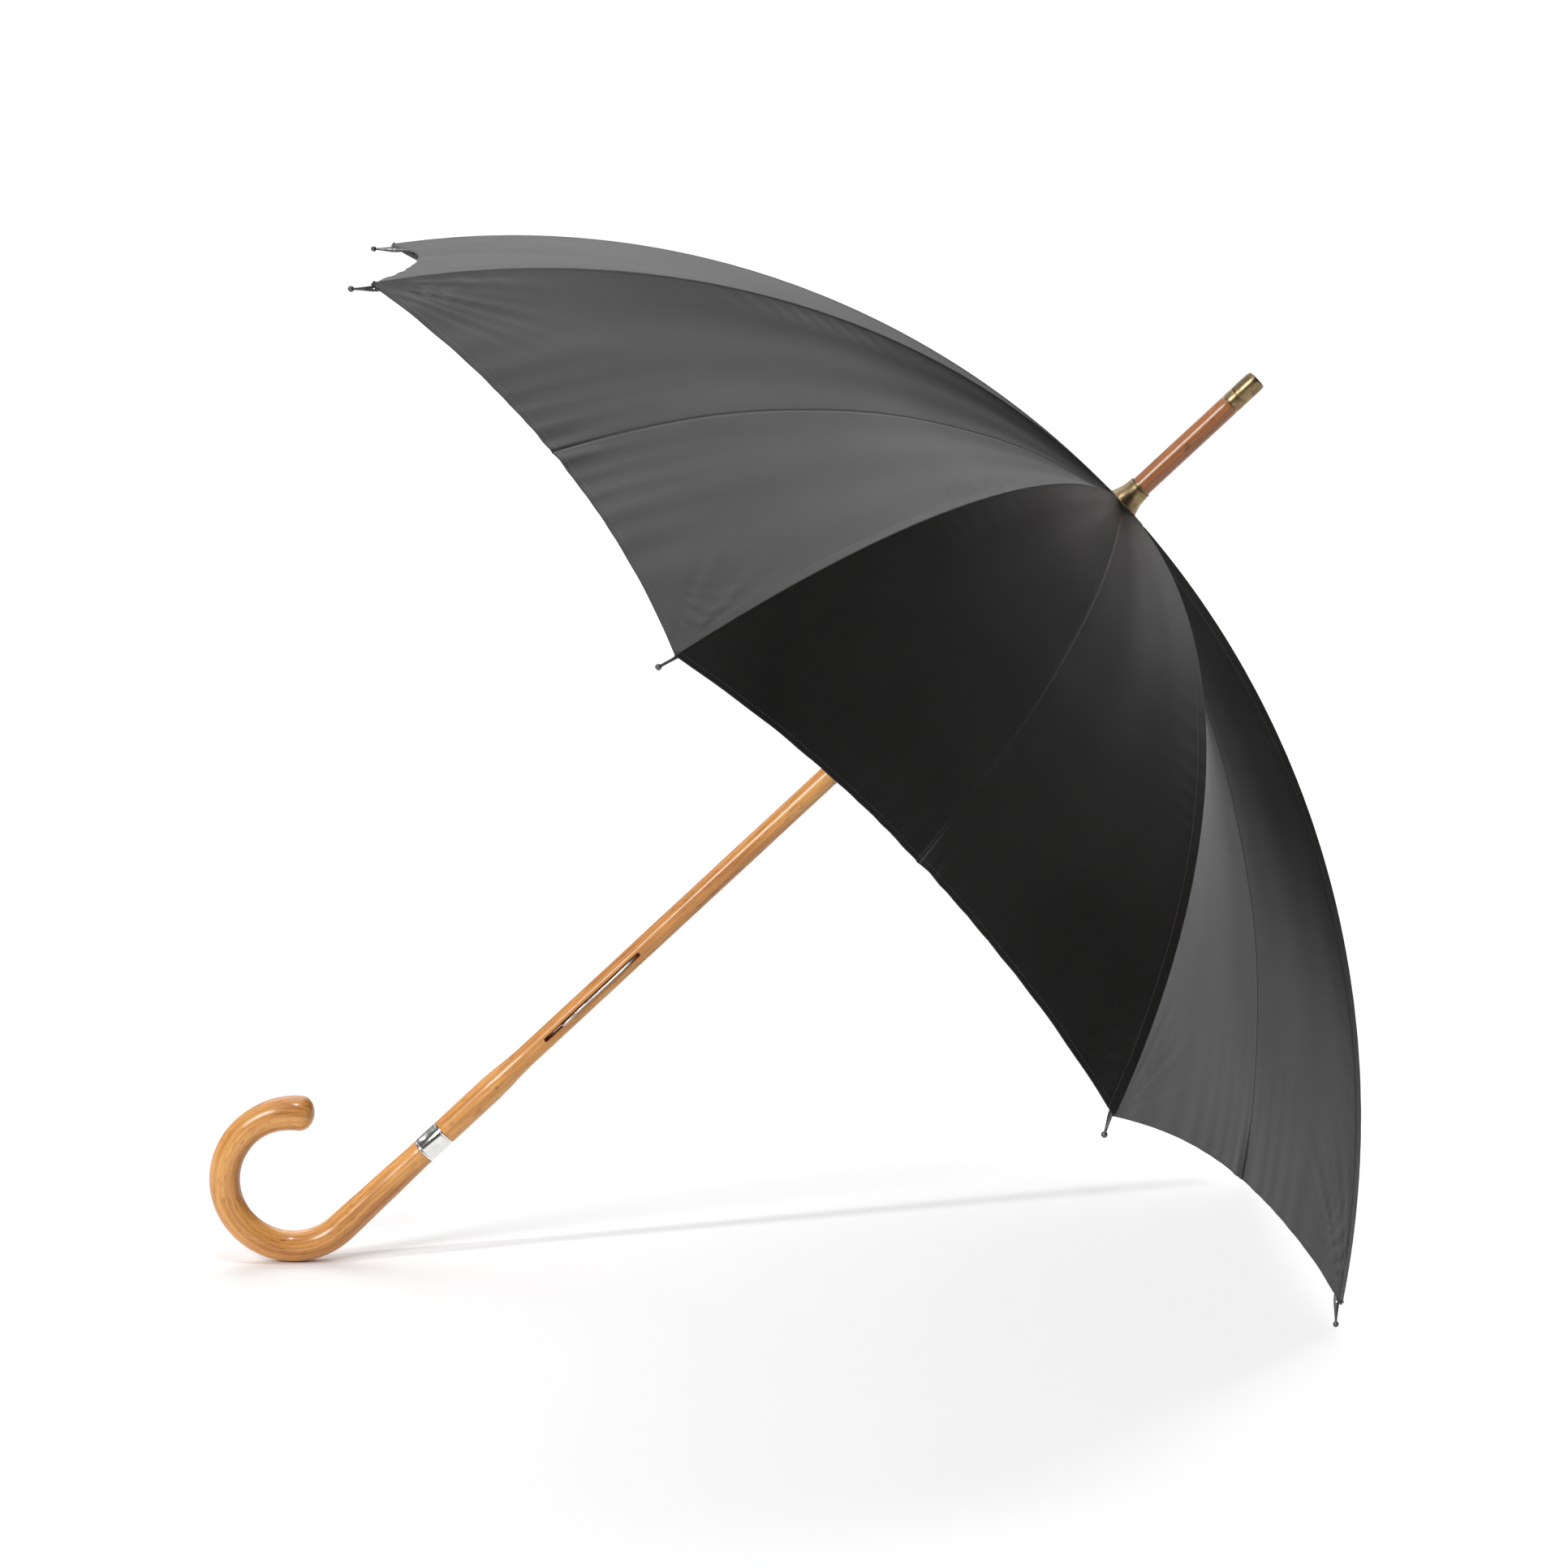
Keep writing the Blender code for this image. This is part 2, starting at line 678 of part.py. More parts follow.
def rib_inner_parts():
    """The half of each rib from the crown to just past the stretcher's lug."""
    x, z, _ = cloth_line(CLOTH_START, RIB_DROP)
    root_slope = -atan2(z - PIVOT_TOP, x - PIVOT_RADIUS)
    sections = eye_sections(PIVOT_RADIUS, PIVOT_TOP, root_slope)
    sections += tongue_sections(PIVOT_RADIUS, PIVOT_TOP, root_slope)
    last = RIB_JOINT_AT + BEND_PAST_LUG - GAP / 2
    steps = 6
    for i in range(steps + 1):
        x, z, slope = cloth_line(CLOTH_START + (last - CLOTH_START) * i / steps, RIB_DROP)
        sections.append((x, z, slope, ROD_RADIUS, ROD_RADIUS))
    thin = LUG_HALF - 0.0001
    neck = box_mesh((-0.0014, -thin, 0), (0.0014, thin, LUG_OFFSET))
    neck.transform(Matrix.Translation(LUG) @ Matrix.Rotation(LUG_SLOPE, 4, "Y"))
    side = Vector((0, 1, 0))
    changes = [
        cross_hole(PIVOT_RADIUS, PIVOT_TOP, EYE_HOLE),
        ("UNION", neck),
        ("UNION", rod_mesh(LUG - side * LUG_HALF, LUG + side * LUG_HALF, LUG_RADIUS, 10)),
        ("UNION", rod_mesh(LUG - side * PIN_REACH, LUG + side * PIN_REACH, PIN_RADIUS, 8)),
    ]
    mesh = combined(loft_mesh("rib_inner", sections), "rib_inner", changes)
    shared_parts(smooth(mesh), "rib_{}_inner", STEEL, CROWN_PIVOT)


def rib_outer_parts():
    """The rest of each rib, to its sewing eye and ball tip."""
    first = RIB_JOINT_AT + BEND_PAST_LUG + GAP / 2
    sections = []
    steps = 6
    for i in range(steps + 1):
        x, z, slope = cloth_line(first + (CLOTH_LENGTH - 0.022 - first) * i / steps, RIB_DROP)
        size = ROD_RADIUS - 0.0003 * i / steps
        sections.append((x, z, slope, size, size))
    eye_x, eye_z, slope = cloth_line(CLOTH_LENGTH - EYE_FROM_HEM, RIB_DROP + 0.0008)
    ball_x, ball_z = ball_place()
    heading = atan2(eye_z - ball_z, ball_x - eye_x)
    reach = hypot(ball_x - eye_x, ball_z - eye_z)
    shape = (
        (-0.0090, 0.0010, 0.0012),
        (-0.0045, TIP_HALF, 0.0018),
        (0.0, TIP_HALF, 0.0021),
        (0.0045, TIP_HALF, 0.0017),
        (reach - 0.0040, 0.0009, 0.0009),
        (reach - BALL_RADIUS * 0.92, 0.0008, 0.0008),
    )
    for along, wide, high in shape:
        sections.append(
            (eye_x + along * cos(heading), eye_z - along * sin(heading), heading, wide, high)
        )
    for turn in (-38, 0, 38, 68, 84):
        along = reach + BALL_RADIUS * sin(radians(turn))
        size = BALL_RADIUS * cos(radians(turn))
        sections.append(
            (eye_x + along * cos(heading), eye_z - along * sin(heading), heading, size, size)
        )
    hole = cross_hole(eye_x, eye_z, SEWING_HOLE)
    mesh = combined(loft_mesh("rib_outer", sections), "rib_outer", [hole])
    shared_parts(smooth(mesh), "rib_{}_outer", STEEL, BEND_POINT)


def stretcher_parts():
    """Each stretcher, from its fork on the rib's lug to its eye on the runner's wire."""
    run = Vector((PIVOT_RADIUS, 0, RUNNER_PIVOT)) - LUG
    slope = atan2(-run.z, run.x)
    far = run.length

    def section(along, wide, high):
        return (LUG.x + along * cos(slope), LUG.z - along * sin(slope), slope, wide, high)

    sections = [
        section(-FORK_HALF, FORK_OUTER, FORK_HALF * 0.35),
        section(-FORK_HALF * 0.7, FORK_OUTER, FORK_HALF * 0.8),
        section(0, FORK_OUTER, FORK_HALF),
        section(FORK_LENGTH + 0.0006, FORK_OUTER, FORK_HALF),
        section(FORK_LENGTH + 0.0030, ROD_RADIUS, ROD_RADIUS),
        section(far - TONGUE, ROD_RADIUS, ROD_RADIUS),
        section(far - TONGUE + 0.0010, EYE_HALF, ROD_RADIUS),
        section(far - 0.0018, EYE_HALF, EYE_RADIUS * 0.85),
        section(far, EYE_HALF, EYE_RADIUS),
        section(far + EYE_RADIUS * 0.42, EYE_HALF, EYE_RADIUS * 0.92),
        section(far + EYE_RADIUS * 0.80, EYE_HALF, EYE_RADIUS * 0.62),
        section(far + EYE_RADIUS, EYE_HALF * 0.7, EYE_RADIUS * 0.30),
    ]
    gap = box_mesh((-0.005, -FORK_INNER, -0.004), (FORK_LENGTH, FORK_INNER, 0.004))
    gap.transform(Matrix.Translation(LUG) @ Matrix.Rotation(slope, 4, "Y"))
    changes = [
        ("DIFFERENCE", gap),
        cross_hole(LUG.x, LUG.z, PIN_RADIUS + PIN_HOLE_GAP),
        cross_hole(PIVOT_RADIUS, RUNNER_PIVOT, EYE_HOLE),
    ]
    mesh = combined(loft_mesh("stretcher", sections), "stretcher", changes)
    shared_parts(smooth(mesh), "stretcher_{}", STEEL, LUG)


# The cloth: each piece lies over one rib and reaches half way to its neighbours


def sag_at(s, share):
    """How far the cloth hangs in from a straight line between two ribs, deepest at mid-gore."""
    share = abs(share)
    far = max(0, s - SAG_START) / (CLOTH_LENGTH - SAG_START)
    return SAG * sin(pi * far**0.65) * (0.78 * (2 * share - share * share) + 0.22 * share)


def cloth_point(s, share):
    """A point of the cloth at arc length s, share of the way from a rib to mid-gore, either side."""
    radius, height, slope = cloth_line(s)
    half = RIB_TURN / 2
    side = 1 if share > 0 else -1
    sag = sag_at(s, share)
    inward = abs(share) * radius * sin(half) ** 2 + sag * sin(slope) * cos(half)
    across = share * (radius * sin(half) * cos(half) - GAP / 2 / cos(half))
    across -= side * sag * sin(slope) * sin(half)
    return Vector((radius - inward, across, height - sag * cos(slope)))


def sheet_mesh(name, rows, thickness):
    """A closed sheet from rows of points, thickened on its lower side."""
    bm = bmesh.new()
    made = [[bm.verts.new(place) for place in row] for row in rows]
    for low, high in zip(made, made[1:]):
        for i in range(len(low) - 1):
            bm.faces.new((low[i], high[i], high[i + 1], low[i + 1]))
    bmesh.ops.recalc_face_normals(bm, faces=bm.faces)
    if sum(face.normal.z for face in bm.faces) < 0:
        bmesh.ops.reverse_faces(bm, faces=bm.faces)
    mesh = bpy.data.meshes.new(name)
    bm.to_mesh(mesh)
    bm.free()
    ob = bpy.data.objects.new(name, mesh)
    CUTTERS.objects.link(ob)
    solid = ob.modifiers.new("thickness", "SOLIDIFY")
    solid.thickness = thickness
    solid.offset = -1
    solid.use_even_offset = True
    return baked(ob, name)


def hem_at(share):
    """Arc length where the cloth ends: full over a rib, cut back in a curve between two."""
    share = abs(share)
    return CLOTH_LENGTH - SCALLOP * (2 * share - share * share)


def cloth_parts():
    bend = RIB_JOINT_AT + BEND_PAST_LUG
    start = CLOTH_BEND_RADIUS * (
        asin((CROWN_CLOTH_RADIUS + 0.0004 - CLOTH_START) / CLOTH_BEND_RADIUS + sin(TOP_SLOPE))
        - TOP_SLOPE
    )
    rows = []
    steps = 8
    for i in range(steps + 1):
        s = start + (bend - GAP / 2 - start) * i / steps
        rows.append([cloth_point(s, share) for share in (-1, -0.5, 0, 0.5, 1)])
    inner = sheet_mesh("cloth_inner", rows, CLOTH_THICKNESS)
    shared_parts(inner, "canopy_{}_inner", CLOTH, CROWN_PIVOT)
    rows = []
    for i in range(steps + 1):
        row = []
        for share in (-1, -2 / 3, -1 / 3, 0, 1 / 3, 2 / 3, 1):
            s = bend + GAP / 2 + (hem_at(share) - bend - GAP / 2) * i / steps
            row.append(cloth_point(s, share))
        rows.append(row)
    outer = sheet_mesh("cloth_outer", rows, CLOTH_THICKNESS)
    shared_parts(outer, "canopy_{}_outer", CLOTH, BEND_POINT)


def outward_at(s, share):
    """The direction that the cloth faces at one of its points."""
    step = 0.002
    down = cloth_point(s + step, share) - cloth_point(s - step, share)
    over = cloth_point(s, share + step) - cloth_point(s, share)
    return down.cross(over).normalized()


def tie_band():
    """A strap that lies beside one rib's seam, with a press stud near its free end."""
    end = CLOTH_LENGTH - BAND_HEM_GAP

    def band_point(s, v, raised):
        share = v / (cloth_line(s)[0] * sin(RIB_TURN / 2))
        return cloth_point(s, share) + outward_at(s, share) * (raised + FACET_SLACK)

    rows = []
    steps = 6
    for i in range(steps + 1):
        s = end - BAND_LENGTH * (steps - i) / steps
        edges = (BAND_FROM_SEAM, BAND_FROM_SEAM + BAND_WIDTH)
        rows.append([band_point(s, v, GAP + BAND_THICKNESS) for v in edges])
    mesh = sheet_mesh("tie_band", rows, BAND_THICKNESS)
    pivot = BEND_POINT
    mesh.transform(Matrix.Translation(-pivot))
    show(mesh, "tie_band", CLOTH, at=pivot, turn=rib_angle(BAND_RIB))
    across = BAND_FROM_SEAM + BAND_WIDTH / 2
    middle = band_point(end - 0.012, across, GAP * 2 + BAND_THICKNESS)
    outward = outward_at(end - 0.012, across / (cloth_line(end)[0] * sin(RIB_TURN / 2)))
    stud = combined(
        rod_mesh(middle, middle + outward * 0.0012, STUD_RADIUS, 16),
        "tie_stud",
        [("UNION", rod_mesh(middle, middle + outward * 0.0026, STUD_RADIUS * 0.45, 12))],
    )
    stud.transform(Matrix.Translation(-pivot))
    show(smooth(stud), "tie_stud", NICKEL, at=pivot, turn=rib_angle(BAND_RIB))


def build():
    stick()
    handle_collar()
    ferrule()
    open_cap()
    crown_cloth()
    crown()
    show(ring_wire("crown_wire", PIVOT_TOP), "crown_wire", STEEL)
    cross_pin("crown_pin", (0, 1, 0), CROWN_PIN_HEIGHT, CROWN_PIN_RADIUS, HUB_RADIUS)
    cross_pin("stop_pin", (1, 0, 0), STOP_HEIGHT, STOP_PIN_RADIUS, HUB_RADIUS)
    runner()
    hand_spring()
    top_spring()
    rib_inner_parts()
    rib_outer_parts()
    stretcher_parts()
    cloth_parts()
    tie_band()


build()
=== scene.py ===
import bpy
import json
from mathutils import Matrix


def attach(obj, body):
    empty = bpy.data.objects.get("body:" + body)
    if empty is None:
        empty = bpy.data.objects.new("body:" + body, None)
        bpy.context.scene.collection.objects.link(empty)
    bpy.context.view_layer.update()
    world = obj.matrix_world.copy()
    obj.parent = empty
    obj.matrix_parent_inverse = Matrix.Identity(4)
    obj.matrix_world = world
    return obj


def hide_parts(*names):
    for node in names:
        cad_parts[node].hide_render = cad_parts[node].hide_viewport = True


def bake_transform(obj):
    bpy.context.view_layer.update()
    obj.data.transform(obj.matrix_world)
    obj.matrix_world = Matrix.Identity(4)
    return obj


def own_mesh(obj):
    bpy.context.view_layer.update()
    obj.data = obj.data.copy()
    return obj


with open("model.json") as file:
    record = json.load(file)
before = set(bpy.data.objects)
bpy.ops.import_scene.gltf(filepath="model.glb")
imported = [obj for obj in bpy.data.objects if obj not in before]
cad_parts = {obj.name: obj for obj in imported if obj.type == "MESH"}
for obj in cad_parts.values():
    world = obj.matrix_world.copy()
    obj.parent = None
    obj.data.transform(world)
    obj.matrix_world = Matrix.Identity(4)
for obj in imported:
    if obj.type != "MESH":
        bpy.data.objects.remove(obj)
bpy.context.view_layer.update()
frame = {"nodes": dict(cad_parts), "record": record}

# The looks of the stick umbrella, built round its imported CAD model. Shapes are made in the
# umbrella's own frame, which the mount on the ferrule's end places: Z up the shaft, X towards the
# hook's open side, origin where the cloth meets the shaft. "Radius" and "height" are meant in that
# frame. Along and across on the cloth are metres from the top and metres from the rib.

import json
from itertools import product
from math import asin, atan2, cos, hypot, pi, radians, sin, tan

import bmesh
import bpy
import numpy as np
from mathutils import Vector

# Driving dimensions, in metres and radians, the same as the CAD model's
GAP = 0.0003
RIBS = 8
RIB_TURN = 2 * pi / RIBS
HALF_TURN = RIB_TURN / 2
FIRST_RIB = -RIB_TURN / 2
CLOTH_START = 0.012
CLOTH_BEND_RADIUS = 0.6128
TOP_SLOPE = radians(1.08)
HEM_SLOPE = radians(53.83)
CLOTH_LENGTH = CLOTH_BEND_RADIUS * (HEM_SLOPE - TOP_SLOPE)
SCALLOP = 0.025
SHAFT_RADIUS = 0.00735
NOSE_RADIUS = 0.0072
TENON_RADIUS = 0.0059
NOSE_END = 0.0977
TENON_END = 0.1175
SHOULDER_TOP = -0.555
SHOULDER_END = -0.587
HANDLE_RADIUS = 0.0091
COLLAR_TOP = -0.6308
COLLAR_LENGTH = 0.02
CROOK_START = -0.7291
CROOK_RADIUS = 0.047
CROOK_TUBE = 0.0106
CROOK_TURN = radians(230)
BULB_RADIUS = 0.0121
FERRULE_TIP = 0.1229
FERRULE_RADIUS = 0.0072
CAP_HEIGHT = 0.017
CAP_RIM_RADIUS = 0.0116
PIVOT_RADIUS = 0.011
PIVOT_TOP = -0.0052
ROD_RADIUS = 0.0014
RIB_DROP = 0.003
EYE_RADIUS = 0.0017
EYE_HOLE = 0.00085
EYE_HALF = 0.00075
TONGUE = 0.0058
RIB_JOINT_AT = 0.243
LUG_OFFSET = 0.0046
BEND_PAST_LUG = 0.0035
LUG_HALF = 0.0007
LUG_RADIUS = 0.0019
PIN_RADIUS = 0.0006
PIN_REACH = 0.0021
FORK_INNER = 0.0011
FORK_OUTER = 0.0019
FORK_HALF = 0.0015
FORK_LENGTH = 0.008
TIP_HALF = 0.0008
EYE_FROM_HEM = 0.001
SEWING_HOLE = 0.0008
TIP_LENGTH = 0.0134
TIP_DROP = 0.0012
BALL_RADIUS = 0.002
SPRING_WIRE = 0.0008
SPRING_SLOT_HALF = 0.0016
SPRING_SLOT_FLOOR = -0.0022
HAND_SLOT = (-0.5365, -0.4475)
HAND_ANCHOR = -0.45
HAND_NOSE = -0.5193
WHEEL_ABOVE = 0.0032
RUNNER_BELOW = 0.052
STOP_PIN_RADIUS = 0.001
CROWN_PIN_HEIGHT = -0.0132
CROWN_PIN_HOLE = 0.0011
CATCH_GAP = 0.0005
BAND_RIB = 7
BAND_WIDTH = 0.014
BAND_FROM_SEAM = 0.002
BAND_LENGTH = 0.19
BAND_HEM_GAP = 0.03
STUD_RADIUS = 0.0055

# How the cloth hangs between its ribs
SAG = 0.017
SAG_LEAN = 0.009
SAG_START = 0.004
CREASE_DEPTH = 0.00025
SEAM_WIDTH = 0.0068
SEAM_LAP = 0.0012
HEM_WIDTH = 0.0045
HEM_THICK = 0.0011
STITCH_ROW = HEM_WIDTH - 0.0011
STITCH_LENGTH = 0.0024
WEAVE_PITCH = 0.00042
BEND_AT = RIB_JOINT_AT + BEND_PAST_LUG

# How far its folds stand out
TIP_FOLD = 0.00024
DART_DEPTH = 0.0006
PUFF = 0.0008
PUCKER = 0.00013
RIPPLE = 0.00028
DRIFT = 0.0004
LONG_FOLD = 0.00016

# The camera
EYE = (-0.1403, -3.2117, 0.9005)
LOOK = (0.04632, 0.98355, -0.17461)
LENS = 110.39
SENSOR = 36.0

# The studio. A glow is how far up or towards the softbox the backdrop dims and brightens, and its
# strengths there.
STICK_PIECES = ("stick_wood", "collar_band", "ferrule_thimble", "brass_cap")
SPRING_PIECES = ("hand_spring_wire", "top_spring_wire")
FLOOR_REACH = 200.0
HORIZON_GLOW = (0.02, 0.16, 0.75, 0.03)
BACK_SOFTBOX = (0.06, 0.68, 0.73)
BACK_GLOW = (0.78, 0.95, 0.0, 1.7)

RNG = np.random.default_rng(23)


def umbrella_place():
    """The umbrella frame's turn, as columns, and its origin, from the mount on the ferrule."""
    mount = next(m for m in frame["record"]["mounts"] if m["name"] == "ferrule_end")
    up = Vector(mount["axis"]).normalized()
    side = Vector((0, -1, 0))
    open_side = side.cross(up)
    origin = Vector(mount["pos_m"]) - up * FERRULE_TIP
    return np.array([open_side, side, up]).T, np.array(origin)


TURN, ORIGIN = umbrella_place()


def placed(points, azimuth=0.0):
    """Points of the umbrella's frame, turned about the shaft, in world space."""
    points = np.asarray(points, float).reshape(-1, 3)
    c, s = cos(azimuth), sin(azimuth)
    turned = points @ np.array([[c, s, 0], [-s, c, 0], [0, 0, 1]])
    return turned @ TURN.T + ORIGIN


def smoothstep(x):
    x = np.clip(x, 0, 1)
    return x * x * (3 - 2 * x)


def cloth_line(s, drop=0.0):
    """Radius, height and slope where arc length s from the top meets a rib, drop under the cloth."""
    slope = TOP_SLOPE + s / CLOTH_BEND_RADIUS
    radius = CLOTH_START + CLOTH_BEND_RADIUS * (np.sin(slope) - sin(TOP_SLOPE))
    height = -CLOTH_BEND_RADIUS * (cos(TOP_SLOPE) - np.cos(slope))
    return radius - drop * np.sin(slope), height - drop * np.cos(slope), slope


def half_width_at(s):
    """Half a gore's width at an arc length from the top."""
    return cloth_line(s)[0] * sin(HALF_TURN)


def rib_point(s, drop=0.0):
    radius, height, _ = cloth_line(s, drop)
    return Vector((float(radius), 0, float(height)))


RIB_ANGLES = [(number, FIRST_RIB + (number - 1) * RIB_TURN) for number in range(1, RIBS + 1)]
LUG = rib_point(RIB_JOINT_AT, RIB_DROP + LUG_OFFSET)
LUG_SLOPE = float(cloth_line(RIB_JOINT_AT)[2])
RUNNER_PIVOT = PIVOT_TOP - 2 * (PIVOT_TOP - LUG.z)
RUNNER_END = RUNNER_PIVOT - RUNNER_BELOW
STOP_HEIGHT = RUNNER_PIVOT + WHEEL_ABOVE + GAP + STOP_PIN_RADIUS
TOP_NOSE = RUNNER_END - CATCH_GAP
TOP_SLOT = (TOP_NOSE - 0.056, TOP_NOSE + 0.0042)
TOP_ANCHOR = TOP_NOSE - 0.0535


# Material nodes


class Nodes:
    """Short names for the nodes that the finishes and the backdrop are made of."""

    def __init__(self, tree):
        self.tree = tree

    def node(self, kind, inputs=(), **settings):
        made = self.tree.nodes.new(kind)
        for name, value in settings.items():
            setattr(made, name, value)
        for slot, value in dict(inputs).items():
            self.feed(made.inputs[slot], value)
        return made

    def feed(self, socket, value):
        if isinstance(value, bpy.types.NodeSocket):
            self.tree.links.new(value, socket)
        else:
            socket.default_value = value

    def attribute(self, name):
        return self.node("ShaderNodeAttribute", attribute_name=name).outputs["Vector"]

    def scaled(self, vector, scale):
        return self.node("ShaderNodeMapping", {"Vector": vector, "Scale": scale}).outputs["Vector"]

    def noise(self, vector, scale, detail=3.0, roughness=0.5, distortion=0.0):
        """Noise at one scale, or at three, one for each direction."""
        if isinstance(scale, tuple):
            vector, scale = self.scaled(vector, scale), 1.0
        inputs = {"Vector": vector, "Scale": scale, "Detail": detail}
        inputs |= {"Roughness": roughness, "Distortion": distortion}
        return self.node("ShaderNodeTexNoise", inputs).outputs["Fac"]

    def math(self, operation, a, b=0.0):
        return self.node("ShaderNodeMath", {0: a, 1: b}, operation=operation).outputs[0]

    def weighted(self, a, share, b, other_share):
        a, b = self.math("MULTIPLY", a, share), self.math("MULTIPLY", b, other_share)
        return self.math("ADD", a, b)

    def split(self, vector):
        return self.node("ShaderNodeSeparateXYZ", {0: vector}).outputs

    def spread(self, value, low, high, to_low=0.0, to_high=1.0):
        inputs = {0: value, 1: low, 2: high, 3: to_low, 4: to_high}
        return self.node("ShaderNodeMapRange", inputs, interpolation_type="SMOOTHSTEP").outputs[0]

    def ramp(self, value, stops):
        made = self.node("ShaderNodeValToRGB", {0: value})
        elements = made.color_ramp.elements
        while len(elements) < len(stops):
            elements.new(0.5)
        for element, (at, color) in zip(elements, stops):
            element.position = at
            element.color = (*color, 1)
        return made.outputs["Color"]

    def mix(self, share, color, new_color):
        """Some of a plain new colour over a colour."""
        inputs = {0: share, 6: color, 7: (*new_color, 1)}
        return self.node("ShaderNodeMix", inputs, data_type="RGBA").outputs[2]

    def bump(self, height, distance, strength=1.0):
        inputs = {"Height": height, "Distance": distance, "Strength": strength}
        return self.node("ShaderNodeBump", inputs).outputs["Normal"]


class Look(Nodes):
    """A material under construction."""

    def __init__(self, name):
        self.material = bpy.data.materials.new(name)
        self.material.use_nodes = True
        super().__init__(self.material.node_tree)
        self.shader = self.tree.nodes["Principled BSDF"]

    def set(self, **values):
        for name, value in values.items():
            self.feed(self.shader.inputs[name.replace("_", " ")], value)


def cloth_look():
    """Black satin weave. weave_at is across, along and which gore; hem_at is distance from the hem,
    length along it, and distance from the seam."""
    look = Look("black_satin_weave")
    weave = look.attribute("weave_at")
    across, along, gore = look.split(weave)
    warp = look.math("SINE", look.math("MULTIPLY", across, 2 * pi / WEAVE_PITCH))
    weft = look.math("SINE", look.math("MULTIPLY", along, 2 * pi / WEAVE_PITCH))
    threads = look.math("MULTIPLY", warp, weft)
    slub = look.noise(weave, (900, 160, 1), 2.0)
    grain = look.noise(weave, (700, 700, 1), 2.0, 0.7)
    cloud = look.noise(weave, (9, 6, 3.1), 4.0)
    from_hem, on_hem, _ = look.split(look.attribute("hem_at"))
    off_row = look.math("ABSOLUTE", look.math("SUBTRACT", from_hem, STITCH_ROW))
    row = look.math("SUBTRACT", 1.0, look.spread(off_row, 0.00018, 0.0003))
    beat = look.math("SINE", look.math("MULTIPLY", on_hem, 2 * pi / STITCH_LENGTH))
    stitch = look.math("MULTIPLY", row, look.math("GREATER_THAN", beat, -0.35))
    tone = look.weighted(grain, 0.5, cloud, 0.5)
    color = look.ramp(tone, [(0.32, (0.0042, 0.0039, 0.0035)), (0.68, (0.0088, 0.0083, 0.0076))])
    color = look.mix(stitch, color, (0.036, 0.035, 0.033))
    rough = look.spread(look.math("ADD", grain, cloud), 0.7, 1.3, 0.4, 0.5)
    height = look.math("ADD", look.weighted(threads, 0.35, stitch, 5.0), slub)
    look.set(Base_Color=color, Roughness=rough, Normal=look.bump(height, 0.00006, 0.55))
    look.set(Specular_IOR_Level=0.42, Sheen_Weight=0.04, Sheen_Roughness=0.4)
    return look.material


def wood_look(name, pale, mid, deep):
    """Varnished close-grained wood. grain_at is the stick straightened out: x, y and along."""
    look = Look(name)
    grain_at = look.attribute("grain_at")
    broad = look.noise(grain_at, (55, 55, 7), 3.0, 0.55, 0.6)
    line = look.noise(grain_at, (620, 620, 16), 4.0, 0.6, 0.3)
    fleck = look.noise(grain_at, (1100, 1100, 130), 2.0, 0.5)
    patch = look.noise(grain_at, (90, 90, 60), 3.0, 0.6)
    tone = look.weighted(broad, 0.55, line, 0.45)
    color = look.ramp(tone, [(0.33, deep), (0.5, mid), (0.66, pale)])
    pores = look.math("MULTIPLY", look.spread(fleck, 0.56, 0.66), look.spread(patch, 0.4, 0.62))
    dark = tuple(part * 0.55 for part in deep)
    color = look.mix(look.math("MULTIPLY", pores, 0.7), color, dark)
    rough = look.spread(line, 0.35, 0.65, 0.3, 0.42)
    height = look.math("SUBTRACT", look.math("MULTIPLY", line, 0.5), pores)
    look.set(Base_Color=color, Roughness=rough, Normal=look.bump(height, 0.00008, 0.5))
    look.set(Coat_Weight=0.5, Coat_Roughness=0.13, Specular_IOR_Level=0.25)
    return look.material


def metal_look(name, light, dark, rough, scale, wear):
    """A metal with cloudy tarnish and a fine grain, both in the piece's own space."""
    look = Look(name)
    at = look.node("ShaderNodeTexCoord").outputs["Object"]
    cloud = look.noise(at, scale, 5.0, 0.62, 0.5)
    fine = look.noise(at, 2600.0, 2.0, 0.6)
    tone = look.weighted(cloud, 0.75, fine, 0.25)
    color = look.ramp(tone, [(0.36, dark), (0.64, light)])
    roughness = look.spread(tone, 0.35, 0.65, rough + wear, rough)
    look.set(Base_Color=color, Roughness=roughness, Normal=look.bump(fine, 0.00003, 0.35))
    look.set(Metallic=1.0)
    return look.material


def thread_look():
    look = Look("black_thread")
    at = look.node("ShaderNodeTexCoord").outputs["Object"]
    twist = look.noise(at, 2400.0, 2.0)
    color = look.ramp(twist, [(0.35, (0.01, 0.01, 0.009)), (0.65, (0.03, 0.029, 0.027))])
    look.set(Base_Color=color, Normal=look.bump(twist, 0.0001, 0.6))
    look.set(Roughness=0.7)
    return look.material


